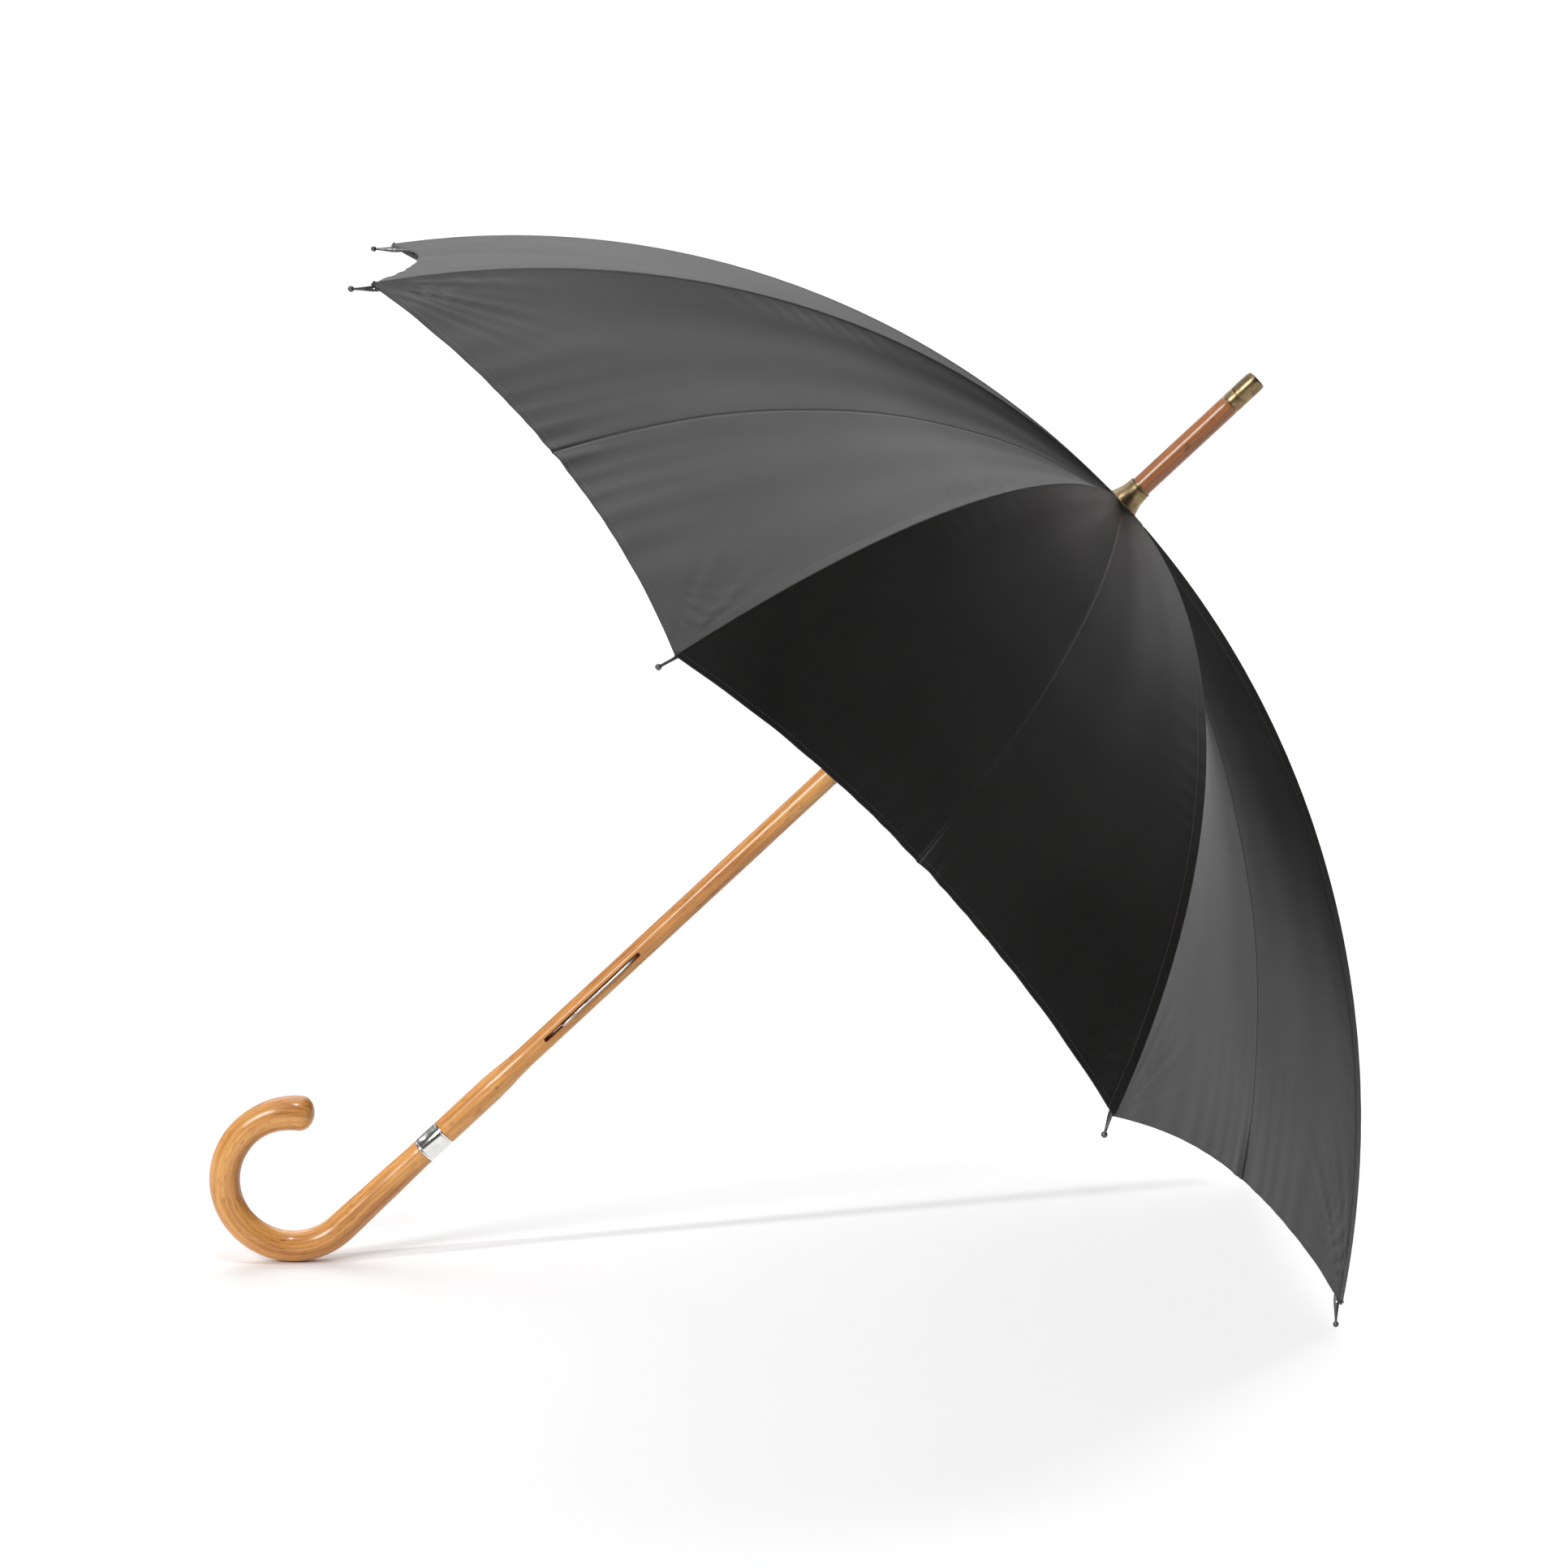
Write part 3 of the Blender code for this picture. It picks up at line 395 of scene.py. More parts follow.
CLOTH = cloth_look()
WOOD = wood_look("varnished_wood", (0.78, 0.41, 0.13), (0.59, 0.262, 0.07), (0.33, 0.112, 0.026))
NOSE_WOOD = wood_look("reddish_wood", (0.5, 0.2, 0.06), (0.33, 0.113, 0.031), (0.15, 0.045, 0.012))
STEEL = metal_look("dark_steel", (0.16, 0.16, 0.16), (0.06, 0.06, 0.062), 0.34, 180.0, 0.12)
NICKEL = metal_look("nickel", (0.7, 0.69, 0.66), (0.48, 0.47, 0.44), 0.24, 140.0, 0.1)
SILVER = metal_look("silver", (0.9, 0.89, 0.86), (0.74, 0.73, 0.7), 0.09, 120.0, 0.05)
BRASS = metal_look("aged_brass", (0.28, 0.205, 0.11), (0.14, 0.098, 0.05), 0.27, 150.0, 0.1)
THREAD = thread_look()


# Mesh building


def piece_from(name, points, faces, looks):
    """A smooth-shaded object from world-space points. looks is one material or several."""
    mesh = bpy.data.meshes.new(name)
    mesh.from_pydata(np.asarray(points, float).reshape(-1, 3).tolist(), [], faces)
    for look in looks if isinstance(looks, (list, tuple)) else [looks]:
        mesh.materials.append(look)
    mesh.shade_smooth()
    made = bpy.data.objects.new(name, mesh)
    bpy.context.scene.collection.objects.link(made)
    return made


def grid_faces(rows, columns, wrap=False, flip=False):
    """Quads over a grid of points stored row by row. wrap joins the last column to the first."""
    faces = []
    for i in range(rows - 1):
        for j in range(columns if wrap else columns - 1):
            k = (j + 1) % columns
            faces.append((i * columns + j, i * columns + k, (i + 1) * columns + k, (i + 1) * columns + j))
    return [face[::-1] for face in faces] if flip else faces


def rod_faces(rows, sides):
    """Faces of a closed rod: its wall and its two ends."""
    last = (rows - 1) * sides
    ends = [tuple(range(sides))[::-1], tuple(range(last, last + sides))]
    return grid_faces(rows, sides, wrap=True) + ends


def turned(profile, sides):
    """Points and faces of a shape turned about the shaft from (radius, height) pairs."""
    profile = np.asarray(profile, float)
    angles = np.arange(sides) * 2 * pi / sides
    radius, height = profile[:, :1], profile[:, 1:]
    ones = np.ones(sides)
    points = np.stack([radius * np.cos(angles), radius * np.sin(angles), height * ones], -1)
    return points.reshape(-1, 3), grid_faces(len(profile), sides, wrap=True)


def rounded_profile(corners, edge, steps=3):
    """An outline with each inner corner rounded off by a small arc-like cut."""
    corners = [Vector(corner) for corner in corners]
    outline = [corners[0]]
    for before, corner, after in zip(corners, corners[1:], corners[2:]):
        cut = min(edge, (before - corner).length * 0.45, (after - corner).length * 0.45)
        start = corner + (before - corner).normalized() * cut
        end = corner + (after - corner).normalized() * cut
        for i in range(steps + 1):
            t = i / steps
            outline.append(start * (1 - t) ** 2 + corner * 2 * t * (1 - t) + end * t * t)
    outline.append(corners[-1])
    return [tuple(point) for point in outline]


def smooth_line(points, steps):
    """A Catmull-Rom line through the points."""
    points = np.asarray(points, float)
    padded = np.vstack([2 * points[0] - points[1], points, 2 * points[-1] - points[-2]])
    line = []
    for a, b, c, d in zip(padded, padded[1:], padded[2:], padded[3:]):
        for i in range(steps):
            t = i / steps
            line.append(
                0.5 * (2 * b + (c - a) * t + (2 * a - 5 * b + 4 * c - d) * t * t
                       + (3 * b - a - 3 * c + d) * t ** 3)
            )
    line.append(points[-1])
    return np.array(line)


def tube(line, radii, sides, plane_normal=(0, 1, 0)):
    """Points and faces of a round tube along a line that lies in one plane, closed at both ends."""
    line = np.asarray(line, float)
    heading = np.gradient(line, axis=0)
    heading /= np.linalg.norm(heading, axis=1)[:, None]
    side = np.array(plane_normal, float)
    across = np.cross(heading, side)
    angles = np.arange(sides) * 2 * pi / sides
    radii = np.asarray(radii, float)[:, None, None]
    rings = line[:, None, :] + radii * (
        np.cos(angles)[None, :, None] * across[:, None, :] + np.sin(angles)[None, :, None] * side
    )
    return rings.reshape(-1, 3), rod_faces(len(line), sides)


def loft(sections, sides, groove=0.0):
    """A closed rod through (x, z, slope, half width, half height) sections, with a groove below."""
    points = []
    for x, z, slope, wide, high in sections:
        for i in range(sides):
            angle = 2 * pi * (i + 0.5) / sides
            across, side = high * sin(angle), wide * cos(angle)
            if across < 0 and abs(side) < 0.5 * wide:
                across += groove * high * (1 - (2 * side / wide) ** 2)
            points.append((x + across * sin(slope), side, z + across * cos(slope)))
    return np.array(points), rod_faces(len(sections), sides)


def joined(*shapes):
    """Several (points, faces) shapes as one."""
    points, faces, first = [], [], 0
    for some_points, some_faces in shapes:
        points.append(np.asarray(some_points, float))
        faces += [tuple(first + i for i in face) for face in some_faces]
        first += len(some_points)
    return np.vstack(points), faces


def outward(piece):
    """Make a closed mesh's faces look outwards, and split the shading at its hard edges."""
    bm = bmesh.new()
    bm.from_mesh(piece.data)
    bmesh.ops.recalc_face_normals(bm, faces=bm.faces)
    bm.to_mesh(piece.data)
    bm.free()
    piece.data.set_sharp_from_angle(angle=radians(38))
    return piece


def solid(name, points, faces, looks, azimuth=0.0):
    """A closed piece from points of the umbrella's frame."""
    return outward(piece_from(name, placed(points, azimuth), faces, looks))


def cut_by(piece, cutters):
    """Cut other closed shapes out of a piece for good."""
    for other in cutters:
        step = piece.modifiers.new("cut", "BOOLEAN")
        step.operation = "DIFFERENCE"
        step.solver = "EXACT"
        step.object = other
    evaluated = piece.evaluated_get(bpy.context.evaluated_depsgraph_get())
    mesh = bpy.data.meshes.new_from_object(evaluated)
    piece.modifiers.clear()
    piece.data = mesh
    for other in cutters:
        bpy.data.objects.remove(other, do_unlink=True)
    return piece


def store(piece, name, values):
    """Keep a vector for each vertex, for the materials to read."""
    attribute = piece.data.attributes.new(name, "FLOAT_VECTOR", "POINT")
    attribute.data.foreach_set("vector", np.asarray(values, np.float32).ravel())


def finished(piece, body, slot, *nodes):
    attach(piece, body)
    if nodes:
        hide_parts(*nodes)
    return piece


def local_points(piece):
    """A world-space piece's vertices in the umbrella's frame."""
    points = np.empty(len(piece.data.vertices) * 3)
    piece.data.vertices.foreach_get("co", points)
    return (points.reshape(-1, 3) - ORIGIN) @ TURN


# The stick


def stick_line():
    """The stick's centre line and radius, from the tenon round to the end of the hook."""
    collar_top, collar_end = COLLAR_TOP + GAP, COLLAR_TOP - COLLAR_LENGTH - GAP
    stations = [
        (TENON_END, TENON_RADIUS), (NOSE_END + 0.0001, TENON_RADIUS), (NOSE_END, NOSE_RADIUS - 0.0002),
        (NOSE_END - 0.0006, NOSE_RADIUS), (0.004, NOSE_RADIUS), (0.0, SHAFT_RADIUS),
        (SHOULDER_TOP, SHAFT_RADIUS), (SHOULDER_TOP - 0.01, SHAFT_RADIUS + 0.0004),
        (SHOULDER_END + 0.008, HANDLE_RADIUS - 0.0004), (SHOULDER_END, HANDLE_RADIUS),
        (collar_top + 0.0005, HANDLE_RADIUS), (collar_top, HANDLE_RADIUS - 0.0002),
        (collar_top - 0.0001, HANDLE_RADIUS - 0.0009), (collar_end, HANDLE_RADIUS - 0.0009),
        (collar_end - 0.0001, HANDLE_RADIUS - 0.0002), (collar_end - 0.0006, HANDLE_RADIUS),
        ((COLLAR_TOP + CROOK_START) / 2 - 0.01, HANDLE_RADIUS + 0.0008), (CROOK_START, CROOK_TUBE),
    ]
    line = []
    for (z0, r0), (z1, r1) in zip(stations, stations[1:]):
        count = max(1, int(abs(z1 - z0) / 0.0035))
        for i in range(count):
            t = i / count
            line.append((0.0, z0 + (z1 - z0) * t, r0 + (r1 - r0) * float(smoothstep(t))))
    steps = 72
    for i in range(steps + 1):
        angle = pi + CROOK_TURN * i / steps
        swell = float(smoothstep((i / steps - 0.8) / 0.2))
        radius = CROOK_TUBE + (BULB_RADIUS - CROOK_TUBE) * swell
        x = CROOK_RADIUS + CROOK_RADIUS * cos(angle)
        line.append((x, CROOK_START + CROOK_RADIUS * sin(angle), radius))
    end_x, end_z, _ = line[-1]
    heading = pi / 2 + pi + CROOK_TURN
    for turn in range(8, 90, 8):
        past = BULB_RADIUS * 0.8 * sin(radians(turn))
        size = BULB_RADIUS * cos(radians(turn))
        line.append((end_x + past * cos(heading), end_z + past * sin(heading), size))
    return np.array(line)


def straightened(points):
    """Where each point of the stick would be if its hook were straight."""
    x, y, z = points.T
    hooked = (z < CROOK_START) | (x > 0.03)
    reach = np.hypot(x - CROOK_RADIUS, z - CROOK_START)
    angle = np.arctan2(z - CROOK_START, x - CROOK_RADIUS) % (2 * pi)
    angle = np.where(angle < pi / 2, angle + 2 * pi, angle)
    along = np.where(hooked, CROOK_START - (angle - pi) * CROOK_RADIUS, z)
    side = np.where(hooked, CROOK_RADIUS - reach, x)
    return np.stack([side, y, along], 1)


def slot_cutter(front, low, high):
    """A long slot with round ends, from the middle of the stick out to one side."""
    half = SPRING_SLOT_HALF
    outline = []
    for start, middle in ((0, high - half), (pi, low + half)):
        for i in range(9):
            angle = start + pi * i / 8
            outline.append((half * cos(angle), middle + half * sin(angle)))
    inner, outer = SPRING_SLOT_FLOOR * front, 0.02 * front
    points = [(x, inner, z) for x, z in outline] + [(x, outer, z) for x, z in outline]
    count = len(outline)
    ends = [tuple(range(count)), tuple(range(count, 2 * count))[::-1]]
    return solid("cutter", points, ends + grid_faces(2, count, wrap=True), WOOD)


def pin_cutter(axis, height, radius):
    middle = np.array([0, 0, height])
    line = [middle - np.array(axis) * 0.02, middle + np.array(axis) * 0.02]
    points, faces = tube(line, [radius] * 2, 16, (0, 0, 1))
    return solid("cutter", points, faces, WOOD)


def make_stick():
    """One piece of wood from the ferrule's tenon to the hook, with two spring slots."""
    line = stick_line()
    wander = 1 + 0.01 * np.sin(line[:, 1] * 31 + 1.0) * np.sin(line[:, 1] * 13)
    free = (line[:, 1] < -0.12) & (line[:, 1] > SHOULDER_TOP + 0.004)
    radii = np.where(free & (line[:, 0] < 0.001), line[:, 2] * np.minimum(wander, 1.0), line[:, 2])
    centres = np.stack([line[:, 0], 0 * line[:, 0], line[:, 1]], 1)
    points, faces = tube(centres, radii, 64)
    stick = solid("stick_wood", points, faces, [WOOD, NOSE_WOOD])
    cutters = [
        slot_cutter(1, *HAND_SLOT),
        slot_cutter(-1, *TOP_SLOT),
        pin_cutter((1, 0, 0), STOP_HEIGHT, STOP_PIN_RADIUS + GAP),
        pin_cutter((0, 1, 0), CROWN_PIN_HEIGHT, CROWN_PIN_HOLE),
    ]
    cut_by(stick, cutters)
    stick.data.set_sharp_from_angle(angle=radians(38))
    local = local_points(stick)
    store(stick, "grain_at", straightened(local))
    for face in stick.data.polygons:
        if all(local[v][2] > 0 and abs(local[v][0]) < 0.02 for v in face.vertices):
            face.material_index = 1
    return finished(stick, "stick_body", "varnished_wood", "stick")


def turned_piece(name, profile, sides, look, slot, node):
    points, faces = turned(profile, sides)
    finished(solid(name, points, faces, look), "stick_body", slot, node)


def make_collar():
    """A polished band with a fine bead at each edge."""
    inner, outer = HANDLE_RADIUS - 0.0005, HANDLE_RADIUS + 0.00015
    top, bottom = COLLAR_TOP, COLLAR_TOP - COLLAR_LENGTH
    line, band = outer - 0.00022, outer - 0.00005
    edge = [(outer, 0), (outer, 0.0011), (line, 0.0013), (line, 0.0016), (band, 0.0018)]
    corners = [(inner, top)] + [(radius, top - inset) for radius, inset in edge]
    corners += [(radius, bottom + inset) for radius, inset in edge[::-1]]
    profile = rounded_profile(corners + [(inner, bottom), (inner, top)], 0.00035)
    turned_piece("collar_band", profile, 96, SILVER, "silver_collar", "handle_collar")


def make_ferrule():
    """A brass thimble with two turned lines and a worn flat end."""
    base, bore, radius = NOSE_END + GAP, TENON_RADIUS + GAP + 0.0001, FERRULE_RADIUS
    inner_end = TENON_END + GAP + 0.0005
    line = radius - 0.0002
    corners = [
        (0.00001, FERRULE_TIP), (radius - 0.0012, FERRULE_TIP), (radius - 0.0003, FERRULE_TIP - 0.0008),
        (radius, FERRULE_TIP - 0.004), (radius, base + 0.0078), (line, base + 0.0075),
        (line, base + 0.007), (radius, base + 0.0067), (radius, base + 0.0009), (line, base + 0.0006),
        (radius, base + 0.0003), (radius, base), (bore, base), (bore, inner_end), (0.00001, inner_end),
    ]
    profile = rounded_profile(corners, 0.0004)
    turned_piece("ferrule_thimble", profile, 80, BRASS, "aged_brass", "ferrule")


def make_cap():
    """The flared brass cap over the cloth, with a rolled rim."""
    inner = NOSE_RADIUS + GAP + 0.0001
    corners = [
        (inner, CAP_HEIGHT), (inner + 0.0006, CAP_HEIGHT), (inner + 0.0007, CAP_HEIGHT - 0.0013),
        (inner + 0.0003, CAP_HEIGHT - 0.0018), (inner + 0.0007, CAP_HEIGHT - 0.0026),
        (inner + 0.0008, 0.012), (inner + 0.0014, 0.008), (inner + 0.0026, 0.0042),
        (CAP_RIM_RADIUS - 0.0004, 0.0015), (CAP_RIM_RADIUS, 0.0011), (CAP_RIM_RADIUS, GAP),
        (CAP_RIM_RADIUS - 0.001, GAP), (inner + 0.0018, 0.0036), (inner + 0.0006, 0.0075),
        (inner, 0.012), (inner, CAP_HEIGHT),
    ]
    profile = rounded_profile(corners, 0.0006, 4)
    turned_piece("brass_cap", profile, 80, BRASS, "aged_brass", "open_cap")


def make_spring(name, places, body, node):
    line = smooth_line([(0, y, z) for y, z in places], 8)
    points, faces = tube(line, [SPRING_WIRE] * len(line), 14, (1, 0, 0))
    finished(solid(name, points, faces, NICKEL), body, "nickel", node)


def make_springs():
    nose = HAND_NOSE
    hand = [
        (0.003, HAND_ANCHOR), (0.0054, HAND_ANCHOR - 0.003), (0.0078, HAND_ANCHOR - 0.01),
        (0.0089, HAND_ANCHOR - 0.022), (0.0091, nose + 0.03), (0.0087, nose + 0.019),
        (0.0092, nose + 0.013), (0.0108, nose + 0.007), (0.0114, nose + 0.0025),
        (0.0106, nose + 0.0004), (0.0072, nose), (0.004, nose - 0.001), (0.0032, nose - 0.009),
    ]
    make_spring("hand_spring_wire", hand, "hand_spring_body", "hand_spring")
    nose = TOP_NOSE - SPRING_WIRE
    top = [
        (-0.003, TOP_ANCHOR), (-0.005, TOP_ANCHOR + 0.0025), (-0.0072, TOP_ANCHOR + 0.0095),
        (-0.0085, nose - 0.029), (-0.0098, nose - 0.013), (-0.0108, nose - 0.0045),
        (-0.0108, nose - 0.0008), (-0.0096, nose), (-0.0068, nose), (-0.0044, nose + 0.0004),
        (-0.0034, nose + 0.003),
    ]
    make_spring("top_spring_wire", top, "top_spring_body", "top_spring")


# Ribs and stretchers

# A rod's flattened round end, from its tip past its eye: how far along, half width, half height
TONGUE_END = [
    (-back * EYE_RADIUS, wide * EYE_HALF, high * EYE_RADIUS)
    for back, wide, high in ((1.0, 0.7, 0.3), (0.8, 1.0, 0.62), (0.42, 1.0, 0.92), (0, 1.0, 1.0))
]
TONGUE_END += [(0.0018, EYE_HALF, EYE_RADIUS * 0.85), (TONGUE - 0.001, EYE_HALF, ROD_RADIUS)]


def ball_place():
    """Radius and height of the middle of a rib's ball tip."""
    radius, height, slope = cloth_line(CLOTH_LENGTH, TIP_DROP)
    return radius + TIP_LENGTH * cos(slope), height - TIP_LENGTH * sin(slope)


def straight_sections(x, z, slope, shape):
    """Sections for loft from (along, half width, half height) triples on a straight run."""
    return [(x + along * cos(slope), z - along * sin(slope), slope, wide, high)
            for along, wide, high in shape]


def rib_sections():
    """The whole rib: eye, tongue, fluted rod, flattened sewing end and ball."""
    x, z, _ = cloth_line(CLOTH_START, RIB_DROP)
    root = -atan2(z - PIVOT_TOP, x - PIVOT_RADIUS)
    tongue = TONGUE_END + [(TONGUE, ROD_RADIUS, ROD_RADIUS)]
    sections = straight_sections(PIVOT_RADIUS, PIVOT_TOP, root, tongue)
    end = CLOTH_LENGTH - 0.022
    for s in np.linspace(CLOTH_START, end, 64):
        x, z, slope = cloth_line(s, RIB_DROP)
        size = ROD_RADIUS - 0.0003 * max(0.0, s - BEND_AT) / (end - BEND_AT)
        sections.append((x, z, slope, size, size))
    eye_x, eye_z, _ = cloth_line(CLOTH_LENGTH - EYE_FROM_HEM, RIB_DROP + 0.0008)
    ball_x, ball_z = ball_place()
    heading = atan2(eye_z - ball_z, ball_x - eye_x)
    reach = hypot(ball_x - eye_x, ball_z - eye_z)
    tip = [
        (-0.009, 0.001, 0.0012), (-0.0045, TIP_HALF, 0.0018), (-0.002, TIP_HALF, 0.0021),
        (0.0, TIP_HALF, 0.0021), (0.002, TIP_HALF, 0.002), (0.0045, TIP_HALF, 0.0016),
        (reach - 0.004, 0.0009, 0.0009), (reach - BALL_RADIUS * 0.92, 0.0008, 0.0008),
    ]
    for turn in (-50, -38, -25, -12, 0, 12, 25, 38, 50, 62, 74, 84):
        size = BALL_RADIUS * cos(radians(turn))
        tip.append((reach + BALL_RADIUS * sin(radians(turn)), size, size))
    sections += straight_sections(eye_x, eye_z, heading, tip)
    return sections, (eye_x, eye_z)


def cross_rod(x, z, radius, half, sides=16):
    """A short round rod across the rib's plane."""
    line = [(x, -half, z), (x, half, z)]
    return tube(line, [radius] * 2, sides, (0, 0, 1))


def bare_mesh(name, shape, cutters):
    """A shape with rods cut out of it, as plain points and faces in the rib's plane."""
    piece = outward(piece_from(name, shape[0], shape[1], STEEL))
    cut_by(piece, [outward(piece_from("cutter", *other, STEEL)) for other in cutters])
    points = np.array([vertex.co for vertex in piece.data.vertices])
    faces = [tuple(face.vertices) for face in piece.data.polygons]
    bpy.data.objects.remove(piece, do_unlink=True)
    return points, faces


def box_shape(middle, half, slope):
    """A box, turned to a slope in the rib's plane."""
    corners = []
    for a, b, c in product((-1, 1), repeat=3):
        x, z = a * half[0], c * half[2]
        across = middle[2] - x * sin(slope) + z * cos(slope)
        corners.append((middle[0] + x * cos(slope) + z * sin(slope), middle[1] + b * half[1], across))
    faces = [(0, 1, 3, 2), (4, 6, 7, 5), (0, 4, 5, 1), (2, 3, 7, 6), (0, 2, 6, 4), (1, 5, 7, 3)]
    return np.array(corners), faces


def make_ribs():
    sections, (eye_x, eye_z) = rib_sections()
    holes = [
        cross_rod(PIVOT_RADIUS, PIVOT_TOP, EYE_HOLE, 0.01),
        cross_rod(eye_x, eye_z, SEWING_HOLE, 0.01),
    ]
    rod = bare_mesh("rib", loft(sections, 16, 0.55), holes)
    neck_middle = LUG + Vector((sin(LUG_SLOPE), 0, cos(LUG_SLOPE))) * (LUG_OFFSET / 2)
    lug = joined(
        cross_rod(LUG.x, LUG.z, LUG_RADIUS, LUG_HALF, 28),
        cross_rod(LUG.x, LUG.z, PIN_RADIUS, PIN_REACH, 16),
        cross_rod(LUG.x, LUG.z, PIN_RADIUS * 1.7, PIN_REACH * 0.98, 16),
        box_shape(neck_middle, (0.0013, LUG_HALF - 0.0001, LUG_OFFSET / 2), LUG_SLOPE),
    )
    points, faces = joined(rod, lug)
    for number, turn in RIB_ANGLES:
        rib = solid(f"rib_rod_{number}", points, faces, STEEL, turn)
        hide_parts(f"rib_{number}_inner", f"rib_{number}_outer")
        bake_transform(rib)


def make_stretchers():
    run = Vector((PIVOT_RADIUS, 0, RUNNER_PIVOT)) - LUG
    slope, far = atan2(-run.z, run.x), run.length
    shape = [
        (-FORK_HALF, FORK_OUTER, FORK_HALF * 0.35), (-FORK_HALF * 0.7, FORK_OUTER, FORK_HALF * 0.8),
        (0, FORK_OUTER, FORK_HALF), (FORK_LENGTH + 0.0006, FORK_OUTER, FORK_HALF),
        (FORK_LENGTH + 0.003, ROD_RADIUS, ROD_RADIUS),
    ]
    shape += [(along, ROD_RADIUS, ROD_RADIUS) for along in np.linspace(0.02, far - TONGUE, 24)]
    shape += [(far - along, wide, high) for along, wide, high in TONGUE_END[::-1]]
    sections = straight_sections(LUG.x, LUG.z, slope, shape)
    reach = (FORK_LENGTH - 0.005) / 2
    middle = (LUG.x + reach * cos(slope), 0, LUG.z - reach * sin(slope))
    holes = [
        box_shape(middle, ((FORK_LENGTH + 0.005) / 2, FORK_INNER, 0.004), slope),
        cross_rod(LUG.x, LUG.z, PIN_RADIUS + GAP, 0.01),
        cross_rod(PIVOT_RADIUS, RUNNER_PIVOT, EYE_HOLE, 0.01),
    ]
    points, faces = bare_mesh("stretcher", loft(sections, 16, 0.55), holes)
    for number, turn in RIB_ANGLES:
        rod = solid(f"stretcher_rod_{number}", points, faces, STEEL, turn)
        finished(rod, f"strut_{number}", "dark_steel", f"stretcher_{number}")


# The cloth


def random_waves():
    """Phases, sizes and leans for one gore's folds."""
    phase, size = RNG.uniform(0, 2 * pi, 12), RNG.uniform(0.6, 1.3, 12)
    return phase, size, RNG.uniform(-0.4, 0.4, 4)


WAVES = [random_waves() for _ in range(RIBS)]


def hem_at(share):
    """Arc length where the cloth ends: full over a rib, cut back in a curve between two."""
    share = np.abs(share)
    return CLOTH_LENGTH - SCALLOP * (2 * share - share * share)


def tip_folds(s, across, first, size):
    """Short folds that run from a rib's tip up into the gore, at one rib of it."""
    reach = CLOTH_LENGTH - s
    far = np.hypot(reach, across) + 1e-6
    spin = np.arctan2(across, reach + 0.004)
    folds = np.sin(spin * 21 + first) * 0.5 + np.sin(spin * 37 + 2 * first) * 0.5
    swell = smoothstep((far - 0.006) / 0.03) * (1 - smoothstep((far - 0.05) / 0.085))
    edge = smoothstep(across / 0.01) * smoothstep((1.25 - spin) / 0.5)
    return TIP_FOLD * size * folds * swell * edge


def cloth_relief(s, c, gore):
    """How far the cloth stands out from straight lines between the ribs. c is -1 to 1 over a gore."""
    phase, size, lean = WAVES[gore]
    half_width = half_width_at(s)
    share = 1 - np.abs(c)
    across = share * half_width
    from_mid = np.abs(c) * half_width
    azimuth = (gore - 1) * RIB_TURN
    depth = SAG - SAG_LEAN * cos(azimuth)
    x = np.clip((s - SAG_START) / (CLOTH_LENGTH - SAG_START), 0.0, 1.1)
    bow = np.sin(pi * np.power(x, 0.65))
    relief = -depth * bow * (0.78 * (2 * share - share * share) + 0.22 * share)
    to_hem = hem_at(share) - s
    dart = 1 - smoothstep(to_hem / 0.05)
    groove = np.exp(-(from_mid / 0.001) ** 2) * smoothstep(s / 0.05)
    relief -= (CREASE_DEPTH + DART_DEPTH * dart) * groove
    puff = np.exp(-((from_mid - 0.009) / 0.006) ** 2) * dart
    relief += PUFF * puff * np.sign(c + 1e-9)
    for end, sign in ((0, -1), (1, 1)):
        relief += (sign * c > 0) * tip_folds(s, across, phase[end], size[end])
    off_rib = smoothstep(across / 0.012) * smoothstep(s / 0.1)
    wander = phase[4] + 2.6 * np.sin(s * 37 + phase[3])
    pucker = np.sin(s * 2 * pi / 0.019 + 90 * across + wander)
    pucker *= np.exp(-((across - 0.01) / 0.009) ** 2) * smoothstep((s - 0.1) / 0.1)
    patches = smoothstep(0.5 + 0.9 * np.sin(s * 23 + phase[2]))
    relief += PUCKER * pucker * patches * size[4]
    along_hem = c * half_width
    ripple = np.sin(along_hem * 2 * pi / 0.024 + phase[5] + 6 * np.sin(along_hem * 21))
    ripple *= np.exp(-np.clip(to_hem, 0, 1) / 0.045) * off_rib
    relief += RIPPLE * ripple * size[5]
    drift = np.sin(s * 19 + phase[6]) * np.sin(c * 4.1 + phase[7])
    drift += 0.6 * np.sin(s * 41 + c * 5 * lean[0] + phase[8])
    long_folds = np.sin(c * 15 + s * 9 * lean[1] + phase[9])
    spread = smoothstep(share / 0.25) * smoothstep(s / 0.15)
    return relief + spread * (DRIFT * drift + LONG_FOLD * long_folds * size[9])


def cloth_at(s, c, gore):
    """Points of the cloth in the umbrella's frame, gore number gore, 1 between ribs 1 and 2."""
    radius, height, slope = cloth_line(s)
    half_width = radius * sin(HALF_TURN)
    facing = radius * cos(HALF_TURN)
    relief = cloth_relief(s, c, gore % RIBS)
    outward_radius = facing + relief * np.sin(slope)
    points = np.stack([outward_radius, c * half_width, height + relief * np.cos(slope)], -1)
    turn = FIRST_RIB + (gore - 1) * RIB_TURN + HALF_TURN
    ct, st = cos(turn), sin(turn)
    x, y, z = points[..., 0], points[..., 1], points[..., 2]
    return np.stack([x * ct - y * st, x * st + y * ct, z], -1)


